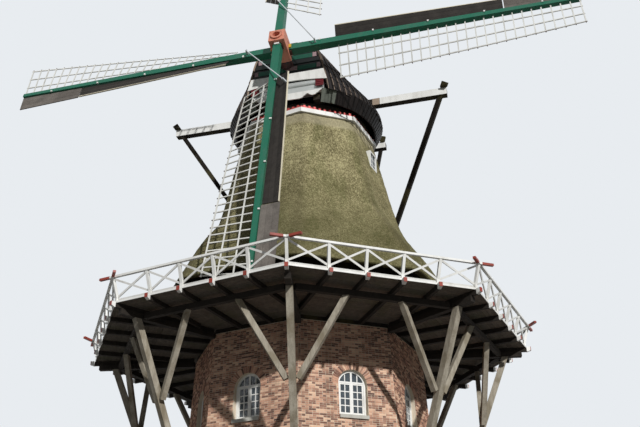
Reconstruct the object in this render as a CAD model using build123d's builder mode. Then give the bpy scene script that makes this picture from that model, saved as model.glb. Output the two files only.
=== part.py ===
from build123d import *

import math
import os

# Thatched gallery mill: octagonal brick base, timber gallery, thatched smock, turning cap and sails.
# Millimetres, +Z up. The origin is on the ground on the axis of the tower. Corner 0 of the octagon
# points to -Y, and corners and sides are counted anticlockwise as seen from above.

os.makedirs("parts", exist_ok=True)

# Octagon
sides = 8
side_turn = 360 / sides
half_side = math.radians(side_turn / 2)

# Fits
seat_gap = 0.3
panel_gap = 6.0
beam_gap = 50.0

# Brick base
storey_height = 3800.0
base_foot_radius = 4750.0
base_top_radius = 4175.0
base_height = 11600.0
base_wall = 560.0
floor_thickness = 180.0
ground_floor_thickness = 100.0

# Windows
window_width = 980.0
window_height = 1500.0
window_sill_height = 900.0
window_offset = 200.0
window_recess = 110.0
frame_width = 70.0
frame_depth = 90.0
glass_thickness = 8.0
sill_thickness = 110.0
sill_projection = 70.0

# Doors
door_sides = (3, 7)
door_width = 2300.0
door_height = 2700.0
door_rise = 350.0
door_recess = 180.0
door_frame_width = 120.0
door_frame_depth = 160.0
door_leaf_thickness = 55.0
door_leaf_gap = 6.0
door_leaf_set_back = 30.0
door_head_flattening = 20.0

# Gallery
deck_height = 11800.0
deck_thickness = 50.0
deck_edge_radius = 8010.0
joist_width = 110.0
joist_overhang = 170.0
joist_nose = 70.0
joist_nose_length = 135.0
corner_beam_width = 200.0
corner_beam_depth = 190.0
corner_beam_reach = 7820.0
edge_beam_radius = 7040.0
edge_beam_width = 160.0
strut_size = 210.0
strut_head_radius = 7180.0
strut_foot_height = 5000.0
side_strut_size = 170.0
side_strut_foot_height = 8950.0
side_strut_reach = 1770.0
side_strut_spread = 75.0

# Railing
rail_height = 810.0
rail_foot_radius = 7926.0
rail_lean = 274.0
rail_width = 90.0
rail_depth = 70.0
rail_overhang = 500.0
rail_bays = 5
end_bay_ratio = 1.084
post_width = 90.0
kick_height = 95.0
kick_thickness = 40.0
brace_width = 62.0
brace_thickness = 40.0
brace_head_drop = 84.0

# Smock
smock_wall_radius = 4150.0
smock_wall_thickness = 110.0
smock_knee_radius = 4000.0
lath_room = 45.0
eave_height = 1420.0
eave_radius = 5820.0
flare_height = 3270.0
flare_radius = 4800.0
hip_height = 4370.0
hip_radius = 4034.0
waist_height = 5180.0
waist_radius = 3700.0
thatch_foot_thickness = 330.0
thatch_hip_thickness = 280.0
thatch_head_thickness = 240.0
thatch_rise = 8920.0
thatch_top_radius = 2830.0
band_radius = 2930.0
band_height = 190.0
band_thickness = 60.0
curb_radius = 2780.0
curb_width = 330.0
curb_height = 160.0
dormer_side = 1
dormer_height = 7150.0
dormer_width = 620.0
dormer_tall = 760.0
dormer_frame = 60.0
dormer_depth = 420.0

# Cap
cap_heading = 10.75
cap_ring_height = 190.0
cap_ring_width = 330.0
sheer_spacing = 2300.0
sheer_width = 280.0
sheer_depth = 340.0
sheer_back = 2300.0
cap_front = 2940.0
breast_beam_depth = 460.0
breast_beam_height = 290.0
breast_beam_length = 2960.0
breast_beam_round = 130.0
under_board_height = 260.0
under_board_set_back = 60.0
weather_beam_depth = 420.0
weather_beam_height = 460.0
weather_beam_length = 2300.0
weather_beam_notch = 82.0
fascia_foot_length = 3300.0
fascia_head_length = 3020.0
fascia_height = 520.0
fascia_arch = 150.0
fascia_drop = 150.0
fascia_thickness = 55.0
beard_height = 250.0
beard_thickness = 60.0
scroll_radius = 45.0
scroll_throat = 75.0
beard_set_back = 230.0
beard_length = 2800.0
roof_thickness = 90.0
gable_thickness = 60.0
gable_inset = 50.0
gable_board_thickness = 45.0
gable_board_heights = ((330.0, 570.0), (870.0, 1070.0))
skirt_thickness = 45.0
skirt_foot_radius = 2900.0
rim_radius = 3230.0
rim_rise = 380.0
long_beam_length = 12120.0
long_beam_width = 300.0
long_beam_depth = 320.0
long_beam_height = 22700.0
long_beam_back = 190.0
short_beam_length = 5880.0
short_beam_width = 280.0
short_beam_depth = 280.0
short_beam_height = 22250.0
short_beam_back = 2900.0
beam_hole_gap = 8.0
tail_pole_size = 300.0
tail_foot_back = 6950.0
tail_foot_height = 12850.0
long_brace_size = 190.0
short_brace_size = 150.0
long_brace_foot_height = 13600.0
short_brace_foot_height = 14700.0
brace_head_height = 330.0
brace_inset_ratio = 1.6
brace_head_ratio = 1.3
winch_height = 13300.0
winch_drum_radius = 170.0
winch_drum_length = 420.0
winch_arm_length = 1240.0
winch_arm_size = 85.0

# Sails
hub_forward = 3900.0
hub_height = 23226.0
shaft_tilt = 13.5
shaft_radius = 235.0
shaft_gap = 0.3
shaft_back = 6000.0
poll_size = 640.0
poll_length = 1120.0
poll_boss_radius = 235.0
poll_boss_length = 60.0
poll_hole_radius = 150.0
poll_hole_depth = 180.0
stock_spacing = 500.0
stock_root = 320.0
stock_tip = 170.0
stock_length = 23000.0
first_bar = 2300.0
sail_bars = 27
bar_pitch = 352.0
bar_width = 45.0
bar_thickness = 30.0
lattice_depth = 1540.0
lath_width = 48.0
lath_thickness = 30.0
lath_spans = 8
lath_count = 3
weather_root = 26.0
weather_tip = -4.0
windboard_width = 560.0
windboard_thickness = 32.0
windboard_starts = (1300.0, 2200.0)
tip_board_start = 7650.0
tip_board_width = 620.0
tip_board_gap = 20.0
stay_diameter = 45.0
stay_start = 1400.0
stay_end = 2950.0
stay_edge_inset = 60.0
stay_bracket = 170.0

# Derived levels
rail_top = deck_height + rail_height
joist_depth = deck_height - deck_thickness - base_height
corner_beam_top = base_height
strut_head_height = corner_beam_top - corner_beam_depth
thatch_top = deck_height + thatch_rise
band_top = thatch_top + band_height
curb_top = band_top + curb_height
ring_bottom = curb_top + seat_gap
sheer_bottom = ring_bottom + cap_ring_height
sheer_top = sheer_bottom + sheer_depth
breast_beam_bottom = sheer_top + under_board_height + seat_gap
breast_beam_top = breast_beam_bottom + breast_beam_height
rim_height = sheer_top + rim_rise - sheer_depth


def direction(turn):
    """Unit vector in plan, turned anticlockwise from -Y by the given angle."""
    angle = math.radians(turn - 90)
    return Vector(math.cos(angle), math.sin(angle), 0)


def corner_point(corner, radius):
    """Plan position of an octagon corner at a corner radius."""
    return direction(corner * side_turn) * radius


def outward_plane(turn, height=0.0, across=0.0):
    """Plane on the axis: x outward, y to the left of outward, z up."""
    outward = direction(turn)
    tangent = direction(turn + 90)
    return Plane(origin=tangent * across + Vector(0, 0, height), x_dir=outward, z_dir=(0, 0, 1))


def elevation_plane(turn, height=0.0, across=0.0):
    """Plane for drawing a wall's elevation: x along the wall, y up, z outward."""
    outward = direction(turn)
    tangent = direction(turn + 90)
    return Plane(origin=tangent * across + Vector(0, 0, height), x_dir=tangent, z_dir=outward)


def side_middle(side):
    """Turn of the middle of a side."""
    return (side + 0.5) * side_turn


def base_radius(height):
    """Corner radius of the battered base wall at a height."""
    return base_foot_radius + (base_top_radius - base_foot_radius) * height / base_height


def apothem(radius):
    """Distance from the axis to the middle of a side."""
    return radius * math.cos(half_side)


def write(part, name):
    """Label a finished piece and write it as one STEP file."""
    part.label = name
    export_step(part, f"parts/{name}.step")


def ring_panel(side, levels, gap=0.0):
    """Panel of an octagonal ring from (height, outer radius, inner radius) levels."""
    shift = direction(side_middle(side) + 90) * gap
    with BuildPart() as panel:
        for height, outer, inner in levels:
            with BuildSketch(Plane.XY.offset(height)):
                with BuildLine():
                    Polyline(
                        corner_point(side, inner) + shift,
                        corner_point(side, outer) + shift,
                        corner_point(side + 1, outer) - shift,
                        corner_point(side + 1, inner) - shift,
                        close=True,
                    )
                make_face()
        loft(ruled=True)
    return panel.part


def arched_profile(width, height):
    """Round-headed outline standing on the local origin."""
    spring = height - width / 2
    Rectangle(width, spring, align=(Align.CENTER, Align.MIN))
    with Locations((0, spring)):
        Circle(width / 2)


def door_profile(width, height, rise):
    """Door outline with a flat segmental head."""
    with BuildLine() as outline:
        head = ThreePointArc((-width / 2, height), (0, height + rise), (width / 2, height))
        Polyline(head @ 1, (width / 2, 0), (-width / 2, 0), head @ 0)
    make_face(outline.edges())


def window_places():
    """Side, floor level and shift along the wall of every window of the base."""
    places = []
    for storey in range(3):
        for side in range(sides):
            if storey == 0 and side in door_sides:
                continue
            shift = window_offset if side % 2 == 0 else -window_offset
            places.append((storey, side, storey * storey_height, shift))
    return places


# Brick base walls
for side in range(sides):
    inner_step = base_wall / math.cos(half_side)
    with BuildPart() as base_wall_panel:
        add(ring_panel(side, [
            (0, base_foot_radius, base_foot_radius - inner_step),
            (base_height, base_top_radius, base_top_radius - inner_step),
        ]))
        for storey, window_side, floor_level, shift in window_places():
            if window_side == side:
                foot = floor_level + window_sill_height - sill_thickness
                with BuildSketch(elevation_plane(side_middle(side), foot, shift)):
                    arched_profile(window_width, window_height + sill_thickness)
                extrude(amount=base_foot_radius, mode=Mode.SUBTRACT)
        if side in door_sides:
            with BuildSketch(elevation_plane(side_middle(side))):
                door_profile(door_width, door_height, door_rise)
            extrude(amount=base_foot_radius, mode=Mode.SUBTRACT)
    write(base_wall_panel.part, f"base_wall_{side}")

# Floors of the base
floors = []
for top, thickness in (
    (ground_floor_thickness, ground_floor_thickness),
    (storey_height, floor_thickness),
    (2 * storey_height, floor_thickness),
    (base_height, floor_thickness),
):
    floor_radius = base_radius(top) - base_wall / math.cos(half_side) - seat_gap
    with BuildPart() as storey_floor:
        with BuildSketch(Plane.XY.offset(top - thickness)):
            RegularPolygon(floor_radius, sides, rotation=-90)
        extrude(amount=thickness)
    floors.append(storey_floor.part)
write(Compound(children=floors), "floors")

# Window frames, glass and sills
window_pieces = {"window_frames": [], "window_glass": [], "window_sills": []}
for storey, side, floor_level, shift in window_places():
    foot = floor_level + window_sill_height
    face = apothem(base_radius(foot + window_height)) - window_recess - frame_depth
    turn = side_middle(side)
    with BuildPart() as frame:
        with BuildSketch(elevation_plane(turn, foot, shift).offset(face)):
            arched_profile(window_width - 2 * seat_gap, window_height - seat_gap)
            with Locations((0, frame_width)):
                with BuildSketch(mode=Mode.PRIVATE) as light:
                    arched_profile(window_width - 2 * frame_width, window_height - 2 * frame_width)
                add(light.sketch, mode=Mode.SUBTRACT)
        extrude(amount=frame_depth)
    window_pieces["window_frames"].append(frame.part)
    with BuildPart() as pane:
        middle = face + (frame_depth - glass_thickness) / 2
        with BuildSketch(elevation_plane(turn, foot + frame_width, shift).offset(middle)):
            pane_width = window_width - 2 * frame_width - 2 * seat_gap
            arched_profile(pane_width, window_height - 2 * frame_width - seat_gap)
        extrude(amount=glass_thickness)
    window_pieces["window_glass"].append(pane.part)
    with BuildPart() as sill:
        wall_face = apothem(base_radius(foot - sill_thickness))
        with BuildSketch(elevation_plane(turn, foot - sill_thickness, shift).offset(face)):
            Rectangle(window_width - 2 * seat_gap, sill_thickness - seat_gap, align=(Align.CENTER, Align.MIN))
        extrude(amount=wall_face + sill_projection - face)
    window_pieces["window_sills"].append(sill.part)
# Doors of the base
door_frames = []
door_leaves = []
for side in door_sides:
    turn = side_middle(side)
    face = apothem(base_radius(door_height + door_rise)) - door_recess - door_frame_depth
    clear_width = door_width - 2 * door_frame_width
    clear_height = door_height - door_frame_width
    with BuildPart() as door_frame:
        with BuildSketch(elevation_plane(turn).offset(face)):
            door_profile(door_width - 2 * seat_gap, door_height, door_rise - seat_gap)
            with BuildSketch(mode=Mode.PRIVATE) as clear:
                door_profile(clear_width, clear_height, door_rise - door_head_flattening)
            add(clear.sketch, mode=Mode.SUBTRACT)
        extrude(amount=door_frame_depth)
    door_frames.append(door_frame.part)
    for hand in (-1, 1):
        with BuildPart() as leaf:
            with BuildSketch(elevation_plane(turn).offset(face + door_leaf_set_back)):
                leaf_height = clear_height - door_leaf_gap
                door_profile(clear_width - 2 * seat_gap, leaf_height, door_rise - door_head_flattening)
                with Locations((hand * (clear_width + door_leaf_gap) / 2, clear_height / 2 + door_leaf_gap)):
                    Rectangle(clear_width, 2 * clear_height, mode=Mode.INTERSECT)
            extrude(amount=door_leaf_thickness)
        door_leaves.append(leaf.part)
write(Compound(children=door_frames), "door_frames")
write(Compound(children=door_leaves), "door_leaves")


def bar_between(start, end, width, depth, facing=(0, 0, 1)):
    """Straight squared timber between two points; its depth lies towards facing."""
    start = Vector(*start)
    end = Vector(*end)
    run = end - start
    side_way = run.cross(Vector(*facing)).normalized()
    with BuildPart() as bar:
        with BuildSketch(Plane(origin=start, x_dir=side_way, z_dir=run)):
            Rectangle(width, depth)
        extrude(amount=run.length)
    return bar.part


def radial_point(turn, radius, height, across=0.0):
    """Point at a radius and height, shifted across to the left of outward."""
    return direction(turn) * radius + direction(turn + 90) * across + Vector(0, 0, height)


def joist_between(start, end):
    """Joist of the gallery with the nose under its projecting end cut back."""
    with BuildPart() as joist:
        add(bar_between(start, end, joist_width, joist_depth))
        end_face = joist.faces().sort_by(SortBy.DISTANCE)[-1]
        chamfer(end_face.edges().sort_by(Axis.Z)[0], joist_nose, joist_nose_length, reference=end_face)
    return joist.part


# Gallery deck
smock_wall_apothem = apothem(smock_wall_radius)
deck_panels = []
for side in range(sides):
    with BuildPart() as deck_panel:
        with BuildSketch(outward_plane(side_middle(side), deck_height - deck_thickness)):
            inner = smock_wall_apothem + seat_gap
            outer = apothem(deck_edge_radius)
            reach = math.tan(half_side)
            with BuildLine():
                Polyline(
                    (inner, -inner * reach + panel_gap),
                    (outer, -outer * reach + panel_gap),
                    (outer, outer * reach - panel_gap),
                    (inner, inner * reach - panel_gap),
                    close=True,
                )
            make_face()
        extrude(amount=deck_thickness)
    deck_panels.append(deck_panel.part)
write(Compound(children=deck_panels), "gallery_deck")

# Gallery beams, joists and struts
bay_unit = 1 / (2 * end_bay_ratio + rail_bays - 2)
bay_steps = [0.0, end_bay_ratio * bay_unit]
for bay in range(rail_bays - 2):
    bay_steps.append(bay_steps[-1] + bay_unit)
bay_steps.append(1.0)

corner_beams = []
edge_beams = []
joists = []
main_struts = []
side_struts = []
wall_seat = base_radius(strut_head_height) + seat_gap
half_strut = strut_size / 2
for side in range(sides):
    corner_turn = side * side_turn
    middle_turn = side_middle(side)
    beam_middle = corner_beam_top - corner_beam_depth / 2
    corner_beams.append(bar_between(
        radial_point(corner_turn, wall_seat + corner_beam_width / 2 * math.tan(half_side), beam_middle),
        radial_point(corner_turn, corner_beam_reach, beam_middle),
        corner_beam_width, corner_beam_depth,
    ))
    corner_room = corner_beam_width / 2 / math.cos(half_side) + beam_gap
    edge_half = edge_beam_radius * math.sin(half_side) - corner_room
    edge_beams.append(bar_between(
        radial_point(middle_turn, apothem(edge_beam_radius), beam_middle, -edge_half),
        radial_point(middle_turn, apothem(edge_beam_radius), beam_middle, edge_half),
        edge_beam_width, corner_beam_depth,
    ))
    joist_middle = base_height + joist_depth / 2
    joists.append(joist_between(
        radial_point(corner_turn, smock_wall_radius + joist_width, joist_middle),
        radial_point(corner_turn, deck_edge_radius + joist_overhang, joist_middle),
    ))
    foot_side = 2 * rail_foot_radius * math.sin(half_side)
    for step in bay_steps[1:-1]:
        across = (step - 0.5) * foot_side
        start = smock_wall_apothem + seat_gap
        if abs(across) > start * math.tan(half_side) - joist_width:
            clear = joist_width / 2 / math.sin(half_side) + joist_width / 2 / math.tan(half_side) + beam_gap
            start = abs(across) / math.tan(half_side) + clear
        joists.append(joist_between(
            radial_point(middle_turn, start, joist_middle, across),
            radial_point(middle_turn, apothem(deck_edge_radius) + joist_overhang, joist_middle, across),
        ))
    # A main strut leans from under the corner beam to the corner of the wall
    with BuildPart() as main_strut:
        add(bar_between(
            radial_point(corner_turn, strut_head_radius + half_strut, strut_head_height + strut_size),
            radial_point(corner_turn, base_radius(strut_foot_height), strut_foot_height),
            strut_size, strut_size, direction(corner_turn),
        ))
        split(bisect_by=Plane.XY.offset(strut_head_height - seat_gap), keep=Keep.BOTTOM)
        for wall_side in (side - 1, side):
            add(ring_panel(wall_side, [
                (0, base_foot_radius + seat_gap, 1),
                (base_height, base_top_radius + seat_gap, 1),
            ]), mode=Mode.SUBTRACT)
    main_struts.append(main_strut.part)
    # Two side struts branch from it to the edge beams
    lean = (strut_head_radius - base_radius(strut_foot_height)) / (strut_head_height - strut_foot_height)
    foot_radius = base_radius(strut_foot_height) + lean * (side_strut_foot_height - strut_foot_height)
    for hand in (-1, 1):
        beam_turn = corner_turn + hand * side_turn / 2
        head_across = -hand * (edge_beam_radius * math.sin(half_side) - side_strut_reach)
        with BuildPart() as side_strut:
            head = radial_point(beam_turn, apothem(edge_beam_radius), strut_head_height, head_across)
            foot_across = hand * (half_strut + side_strut_spread)
            foot = radial_point(corner_turn, foot_radius, side_strut_foot_height, foot_across)
            run = (head - foot).normalized()
            add(bar_between(foot, head + run * strut_size, side_strut_size, side_strut_size))
            split(bisect_by=Plane.XY.offset(strut_head_height - seat_gap), keep=Keep.BOTTOM)
            with BuildSketch(outward_plane(corner_turn, side_strut_foot_height - strut_size * 2)):
                with Locations((foot_radius, -hand * (strut_size - half_strut - seat_gap))):
                    Rectangle(4 * strut_size, 2 * strut_size)
            extrude(amount=strut_size * 6, mode=Mode.SUBTRACT)
        side_struts.append(side_strut.part)
write(Compound(children=corner_beams + edge_beams), "gallery_beams")
write(Compound(children=joists), "gallery_joists")
write(Compound(children=main_struts + side_struts), "gallery_struts")


# Railing of the gallery
rail_top_radius = rail_foot_radius + rail_lean
post_top = rail_top - rail_depth
posts = []
rails = []
cross_braces = []
kick_boards = []
rail_bars = {}
for side in range(sides):
    turn = side_middle(side)
    top_half = rail_top_radius * math.sin(half_side) + rail_overhang
    rail_bars[side] = bar_between(
        radial_point(turn, apothem(rail_top_radius), rail_top - rail_depth / 2, -top_half),
        radial_point(turn, apothem(rail_top_radius), rail_top - rail_depth / 2, top_half),
        rail_width, rail_depth,
    )
for side in range(sides):
    # Rails cross at the corners in halved joints
    with BuildPart() as top_rail:
        add(rail_bars[side])
        for other in ((side - 1) % sides, (side + 1) % sides):
            with BuildPart(mode=Mode.PRIVATE) as notch:
                add(rail_bars[other])
                lap = rail_top - rail_depth / 2 + (seat_gap if side % 2 else -seat_gap) / 2
                split(bisect_by=Plane.XY.offset(lap), keep=Keep.TOP if side % 2 == 0 else Keep.BOTTOM)
            add(notch.part, mode=Mode.SUBTRACT)
    rails.append(top_rail.part)


def railing_post(side, step, size):
    """Leaning post of the railing at a share of the side, from the deck to the rail."""
    turn = side_middle(side)
    across = 2 * step - 1
    low = radial_point(turn, apothem(rail_foot_radius), deck_height, across * rail_foot_half)
    high = radial_point(turn, apothem(rail_top_radius), rail_top, across * rail_top_half)
    run = (high - low).normalized() * size
    facing = direction(turn)
    if step in (0, 1):
        facing = direction((side + step) * side_turn)
    with BuildPart() as post:
        add(bar_between(low - run, high + run, size, size, facing))
        split(bisect_by=Plane.XY.offset(deck_height + seat_gap), keep=Keep.TOP)
        split(bisect_by=Plane.XY.offset(post_top - seat_gap), keep=Keep.BOTTOM)
    return post.part


def bay_point(step, rise):
    """Point on the railing's leaning face, at a share of the side and a rise up the slant."""
    half = rail_foot_half + (rail_top_half - rail_foot_half) * rise / rail_slant
    return ((2 * step - 1) * half, rise)


rail_foot_half = rail_foot_radius * math.sin(half_side)
rail_top_half = rail_top_radius * math.sin(half_side)
rail_slant = math.hypot(apothem(rail_lean), rail_height)
for side in range(sides):
    turn = side_middle(side)
    tangent = direction(turn + 90)
    lean_up = (direction(turn) * apothem(rail_lean) + Vector(0, 0, rail_height)).normalized()
    foot_middle = radial_point(turn, apothem(rail_foot_radius), deck_height)
    lean_plane = Plane(origin=foot_middle, x_dir=tangent, z_dir=tangent.cross(lean_up))
    for step in bay_steps[:-1]:
        posts.append(railing_post(side, step, post_width))
    rooms = [railing_post(side, step, post_width + 2 * seat_gap) for step in bay_steps]
    for bay in range(rail_bays):
        left, right = bay_steps[bay], bay_steps[bay + 1]
        low = kick_height + brace_width / 2
        high = rail_slant - brace_head_drop
        with BuildPart() as cross_brace:
            with BuildSketch(lean_plane):
                for start, end in (
                    (bay_point(left, low), bay_point(right, high)),
                    (bay_point(right, low), bay_point(left, high)),
                ):
                    run = Vector(*end) - Vector(*start)
                    middle = (Vector(*end) + Vector(*start)) / 2
                    with Locations(Location(middle, (0, 0, math.degrees(math.atan2(run.Y, run.X))))):
                        Rectangle(run.length, brace_width)
            extrude(amount=brace_thickness / 2, both=True)
            split(bisect_by=Plane.XY.offset(post_top - seat_gap), keep=Keep.BOTTOM)
            for room in rooms[bay:bay + 2]:
                add(room, mode=Mode.SUBTRACT)
        cross_braces.append(cross_brace.part.solids().sort_by(SortBy.VOLUME)[-1])
        with BuildPart() as kick_board:
            with BuildSketch(lean_plane):
                with BuildLine():
                    Polyline(
                        bay_point(left, 0), bay_point(right, 0),
                        bay_point(right, kick_height), bay_point(left, kick_height), close=True,
                    )
                make_face()
            extrude(amount=kick_thickness / 2, both=True)
            split(bisect_by=Plane.XY.offset(deck_height + seat_gap), keep=Keep.TOP)
            for room in rooms[bay:bay + 2]:
                add(room, mode=Mode.SUBTRACT)
        kick_boards.append(kick_board.part.solids().sort_by(SortBy.VOLUME)[-1])
write(Compound(children=posts), "gallery_posts")
write(Compound(children=rails), "gallery_rails")
write(Compound(children=cross_braces), "gallery_cross_braces")
write(Compound(children=kick_boards), "gallery_kick_boards")


# Smock: a boarded timber body under thatch
def section_plane(turn):
    """Plane through the axis: x outward, y up."""
    return Plane(origin=(0, 0, 0), x_dir=direction(turn), z_dir=direction(turn).cross(Vector(0, 0, 1)))


thatch_stations = (
    (deck_height + eave_height, eave_radius, thatch_foot_thickness),
    (deck_height + flare_height, flare_radius, thatch_foot_thickness),
    (deck_height + hip_height, hip_radius, thatch_hip_thickness),
    (deck_height + waist_height, waist_radius, thatch_head_thickness),
    (thatch_top, thatch_top_radius, thatch_head_thickness),
)
dormer_foot = deck_height + dormer_height
dormer_turn = side_middle(dormer_side)
waist_share = (dormer_height - waist_height) / (thatch_rise - waist_height)
dormer_face = apothem(waist_radius + (thatch_top_radius - waist_radius) * waist_share)
smock_panels = []
thatch_panels = []
for side in range(sides):
    turn = side_middle(side)
    with BuildPart() as smock_panel:
        inner_step = smock_wall_thickness / math.cos(half_side)
        levels = [
            (base_height + seat_gap, smock_wall_radius, smock_wall_radius - inner_step),
            (deck_height + flare_height, smock_knee_radius, smock_knee_radius - inner_step),
        ]
        for height, radius, thickness in thatch_stations[2:]:
            wall_outer = radius - (thickness + lath_room) / math.cos(half_side)
            levels.append((height, wall_outer, wall_outer - inner_step))
        add(ring_panel(side, levels, panel_gap))
    with BuildPart() as thatch_panel:
        with BuildSketch(section_plane(turn)):
            outer = [(apothem(radius), height) for height, radius, thickness in thatch_stations]
            inner = [(apothem(radius) - thickness, height) for height, radius, thickness in thatch_stations]
            with BuildLine():
                outer_line = Spline(*outer)
                Polyline(outer_line @ 0, *inner, outer_line @ 1)
            make_face()
        extrude(amount=eave_radius, both=True)
        with BuildSketch(outward_plane(turn, deck_height)):
            with BuildLine():
                reach = eave_radius * 1.1
                half = reach * math.tan(half_side) - panel_gap
                Polyline((0, -panel_gap), (reach, -half), (reach, half), (0, panel_gap), close=True)
            make_face()
        extrude(amount=2 * thatch_rise, mode=Mode.INTERSECT)
    if side == dormer_side:
        opening = elevation_plane(turn, dormer_foot).offset(dormer_face - dormer_depth)
        for panel in (smock_panel, thatch_panel):
            with panel:
                with BuildSketch(opening):
                    Rectangle(
                        dormer_width + 2 * seat_gap, dormer_tall + 2 * seat_gap,
                        align=(Align.CENTER, Align.MIN),
                    )
                extrude(amount=2 * dormer_depth, mode=Mode.SUBTRACT)
    smock_panels.append(smock_panel.part)
    thatch_panels.append(thatch_panel.part)
write(Compound(children=smock_panels), "smock_walls")
write(Compound(children=thatch_panels), "smock_thatch")

# Dormer window of the smock
with BuildPart() as dormer:
    dormer_back = elevation_plane(dormer_turn, dormer_foot + seat_gap).offset(dormer_face - dormer_depth)
    with BuildSketch(dormer_back):
        Rectangle(dormer_width, dormer_tall, align=(Align.CENTER, Align.MIN))
        with Locations((0, dormer_frame)):
            Rectangle(
                dormer_width - 2 * dormer_frame, dormer_tall - 2 * dormer_frame,
                align=(Align.CENTER, Align.MIN), mode=Mode.SUBTRACT,
            )
    extrude(amount=dormer_depth)
with BuildPart() as dormer_pane:
    with BuildSketch(dormer_back.offset(dormer_depth - dormer_frame)):
        with Locations((0, dormer_frame + seat_gap)):
            Rectangle(
                dormer_width - 2 * dormer_frame - 2 * seat_gap,
                dormer_tall - 2 * dormer_frame - 2 * seat_gap,
                align=(Align.CENTER, Align.MIN),
            )
    extrude(amount=glass_thickness)
write(dormer.part, "dormer_frame")
window_pieces["window_glass"].append(dormer_pane.part)
for name, pieces in window_pieces.items():
    write(Compound(children=pieces), name)

# Curb and white band at the head of the smock
curb_panels = []
band_boards = []
for side in range(sides):
    inner_step = curb_width / math.cos(half_side)
    curb_panels.append(ring_panel(side, [
        (thatch_top + seat_gap, curb_radius, curb_radius - inner_step),
        (curb_top, curb_radius, curb_radius - inner_step),
    ], panel_gap))
    inner_step = band_thickness / math.cos(half_side)
    band_boards.append(ring_panel(side, [
        (thatch_top + seat_gap, band_radius, curb_radius + seat_gap),
        (band_top, band_radius, curb_radius + seat_gap),
    ], panel_gap))
write(Compound(children=curb_panels), "smock_curb")
write(Compound(children=band_boards), "smock_band")

# Cap: everything is placed from its own heading
cap_turn = -cap_heading


def cap_point(forward, across, height):
    """Point of the cap: forward to the sails, across to the right as seen from the front."""
    return radial_point(cap_turn, forward, height, across)


def cap_box(forwards, acrosses, heights):
    """Squared timber of the cap between two values each way."""
    with BuildPart() as timber:
        with BuildSketch(outward_plane(cap_turn, heights[0])):
            with Locations(((forwards[0] + forwards[1]) / 2, (acrosses[0] + acrosses[1]) / 2)):
                Rectangle(forwards[1] - forwards[0], acrosses[1] - acrosses[0])
        extrude(amount=heights[1] - heights[0])
    return timber.part


shaft_axis = (direction(cap_turn) * math.cos(math.radians(shaft_tilt))
              + Vector(0, 0, math.sin(math.radians(shaft_tilt))))
hub = cap_point(hub_forward, 0, hub_height)


def shaft_height(forward):
    """Height of the shaft's axis at a forward distance."""
    return hub_height - (hub_forward - forward) * math.tan(math.radians(shaft_tilt))


def shaft_bore(radius):
    """Cylinder round the shaft's axis, for the holes that it passes through."""
    with BuildPart() as bore:
        with BuildSketch(Plane(origin=hub - shaft_axis * shaft_back * 2, z_dir=shaft_axis)):
            Circle(radius)
        extrude(amount=shaft_back * 3)
    return bore.part


with BuildPart() as cap_ring:
    with BuildSketch(outward_plane(cap_turn, ring_bottom)):
        ring_outer = apothem(curb_radius) + cap_ring_width / 4
        Circle(ring_outer)
        Circle(ring_outer - cap_ring_width, mode=Mode.SUBTRACT)
    extrude(amount=cap_ring_height)
write(cap_ring.part, "cap_ring")

sheers = []
for hand in (-1, 1):
    middle = hand * sheer_spacing / 2
    sheers.append(cap_box(
        (-sheer_back, cap_front - breast_beam_depth / 2),
        (middle - sheer_width / 2, middle + sheer_width / 2),
        (sheer_bottom + seat_gap, sheer_top),
    ))
write(Compound(children=sheers), "cap_sheers")

with BuildPart() as breast_beam:
    with BuildSketch(section_plane(cap_turn)):
        with Locations((cap_front - breast_beam_depth, breast_beam_bottom)):
            Rectangle(breast_beam_depth, breast_beam_height, align=(Align.MIN, Align.MIN))
    extrude(amount=breast_beam_length / 2, both=True)
    long_edges = breast_beam.edges().filter_by(Axis(origin=(0, 0, 0), direction=direction(cap_turn + 90)))
    front_edges = long_edges.sort_by(Axis(origin=(0, 0, 0), direction=direction(cap_turn)))[-2:]
    fillet(front_edges, breast_beam_round)
under_board = cap_box(
    (cap_front - breast_beam_depth, cap_front - under_board_set_back),
    (-breast_beam_length / 2, breast_beam_length / 2),
    (sheer_top + seat_gap, sheer_top + under_board_height),
)
write(Compound(children=[breast_beam.part, under_board]), "breast_beam")

weather_back = cap_front - gable_inset - gable_thickness - weather_beam_depth
weather_middle = weather_back + weather_beam_depth / 2
weather_top = shaft_height(weather_middle) - weather_beam_notch
with BuildPart() as weather_beam:
    add(cap_box(
        (weather_back, weather_back + weather_beam_depth - seat_gap),
        (-weather_beam_length / 2, weather_beam_length / 2),
        (weather_top - weather_beam_height, weather_top),
    ))
    add(shaft_bore(shaft_radius + shaft_gap), mode=Mode.SUBTRACT)
write(weather_beam.part, "weather_beam")
weather_posts = []
for hand in (-1, 1):
    middle = hand * (weather_beam_length - sheer_width) / 2
    weather_posts.append(cap_box(
        (weather_back, weather_back + weather_beam_depth - seat_gap),
        (middle - sheer_width / 2, middle + sheer_width / 2),
        (breast_beam_top + seat_gap, weather_top - weather_beam_height - seat_gap),
    ))

# Roof of the cap: (height, front half width, middle half width, back distance, back half width)
roof_stations = (
    (rim_height, 1640.0, rim_radius, 3230.0, 1150.0),
    (rim_height + 480, 1570.0, 3030.0, 3160.0, 1020.0),
    (rim_height + 1200, 1440.0, 2330.0, 2960.0, 720.0),
    (rim_height + 1930, 1230.0, 1560.0, 2500.0, 430.0),
    (rim_height + 2420, 520.0, 640.0, 1900.0, 220.0),
)


def roof_body(inset, front, drop):
    """Solid under the roof's surface, inset by a wall and running to a front plane."""
    with BuildPart() as body:
        for height, front_half, middle_half, back, back_half in roof_stations:
            with BuildSketch(outward_plane(cap_turn, height - drop)):
                with BuildLine():
                    back_end = inset - back
                    right = Spline(
                        (front, front_half - inset), (0, middle_half - inset), (back_end, back_half - inset / 2),
                    )
                    left = Spline(
                        (back_end, inset / 2 - back_half), (0, inset - middle_half), (front, inset - front_half),
                    )
                    Line(right @ 1, left @ 0)
                    Line(left @ 1, right @ 0)
                make_face()
        loft()
    return body.part


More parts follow.
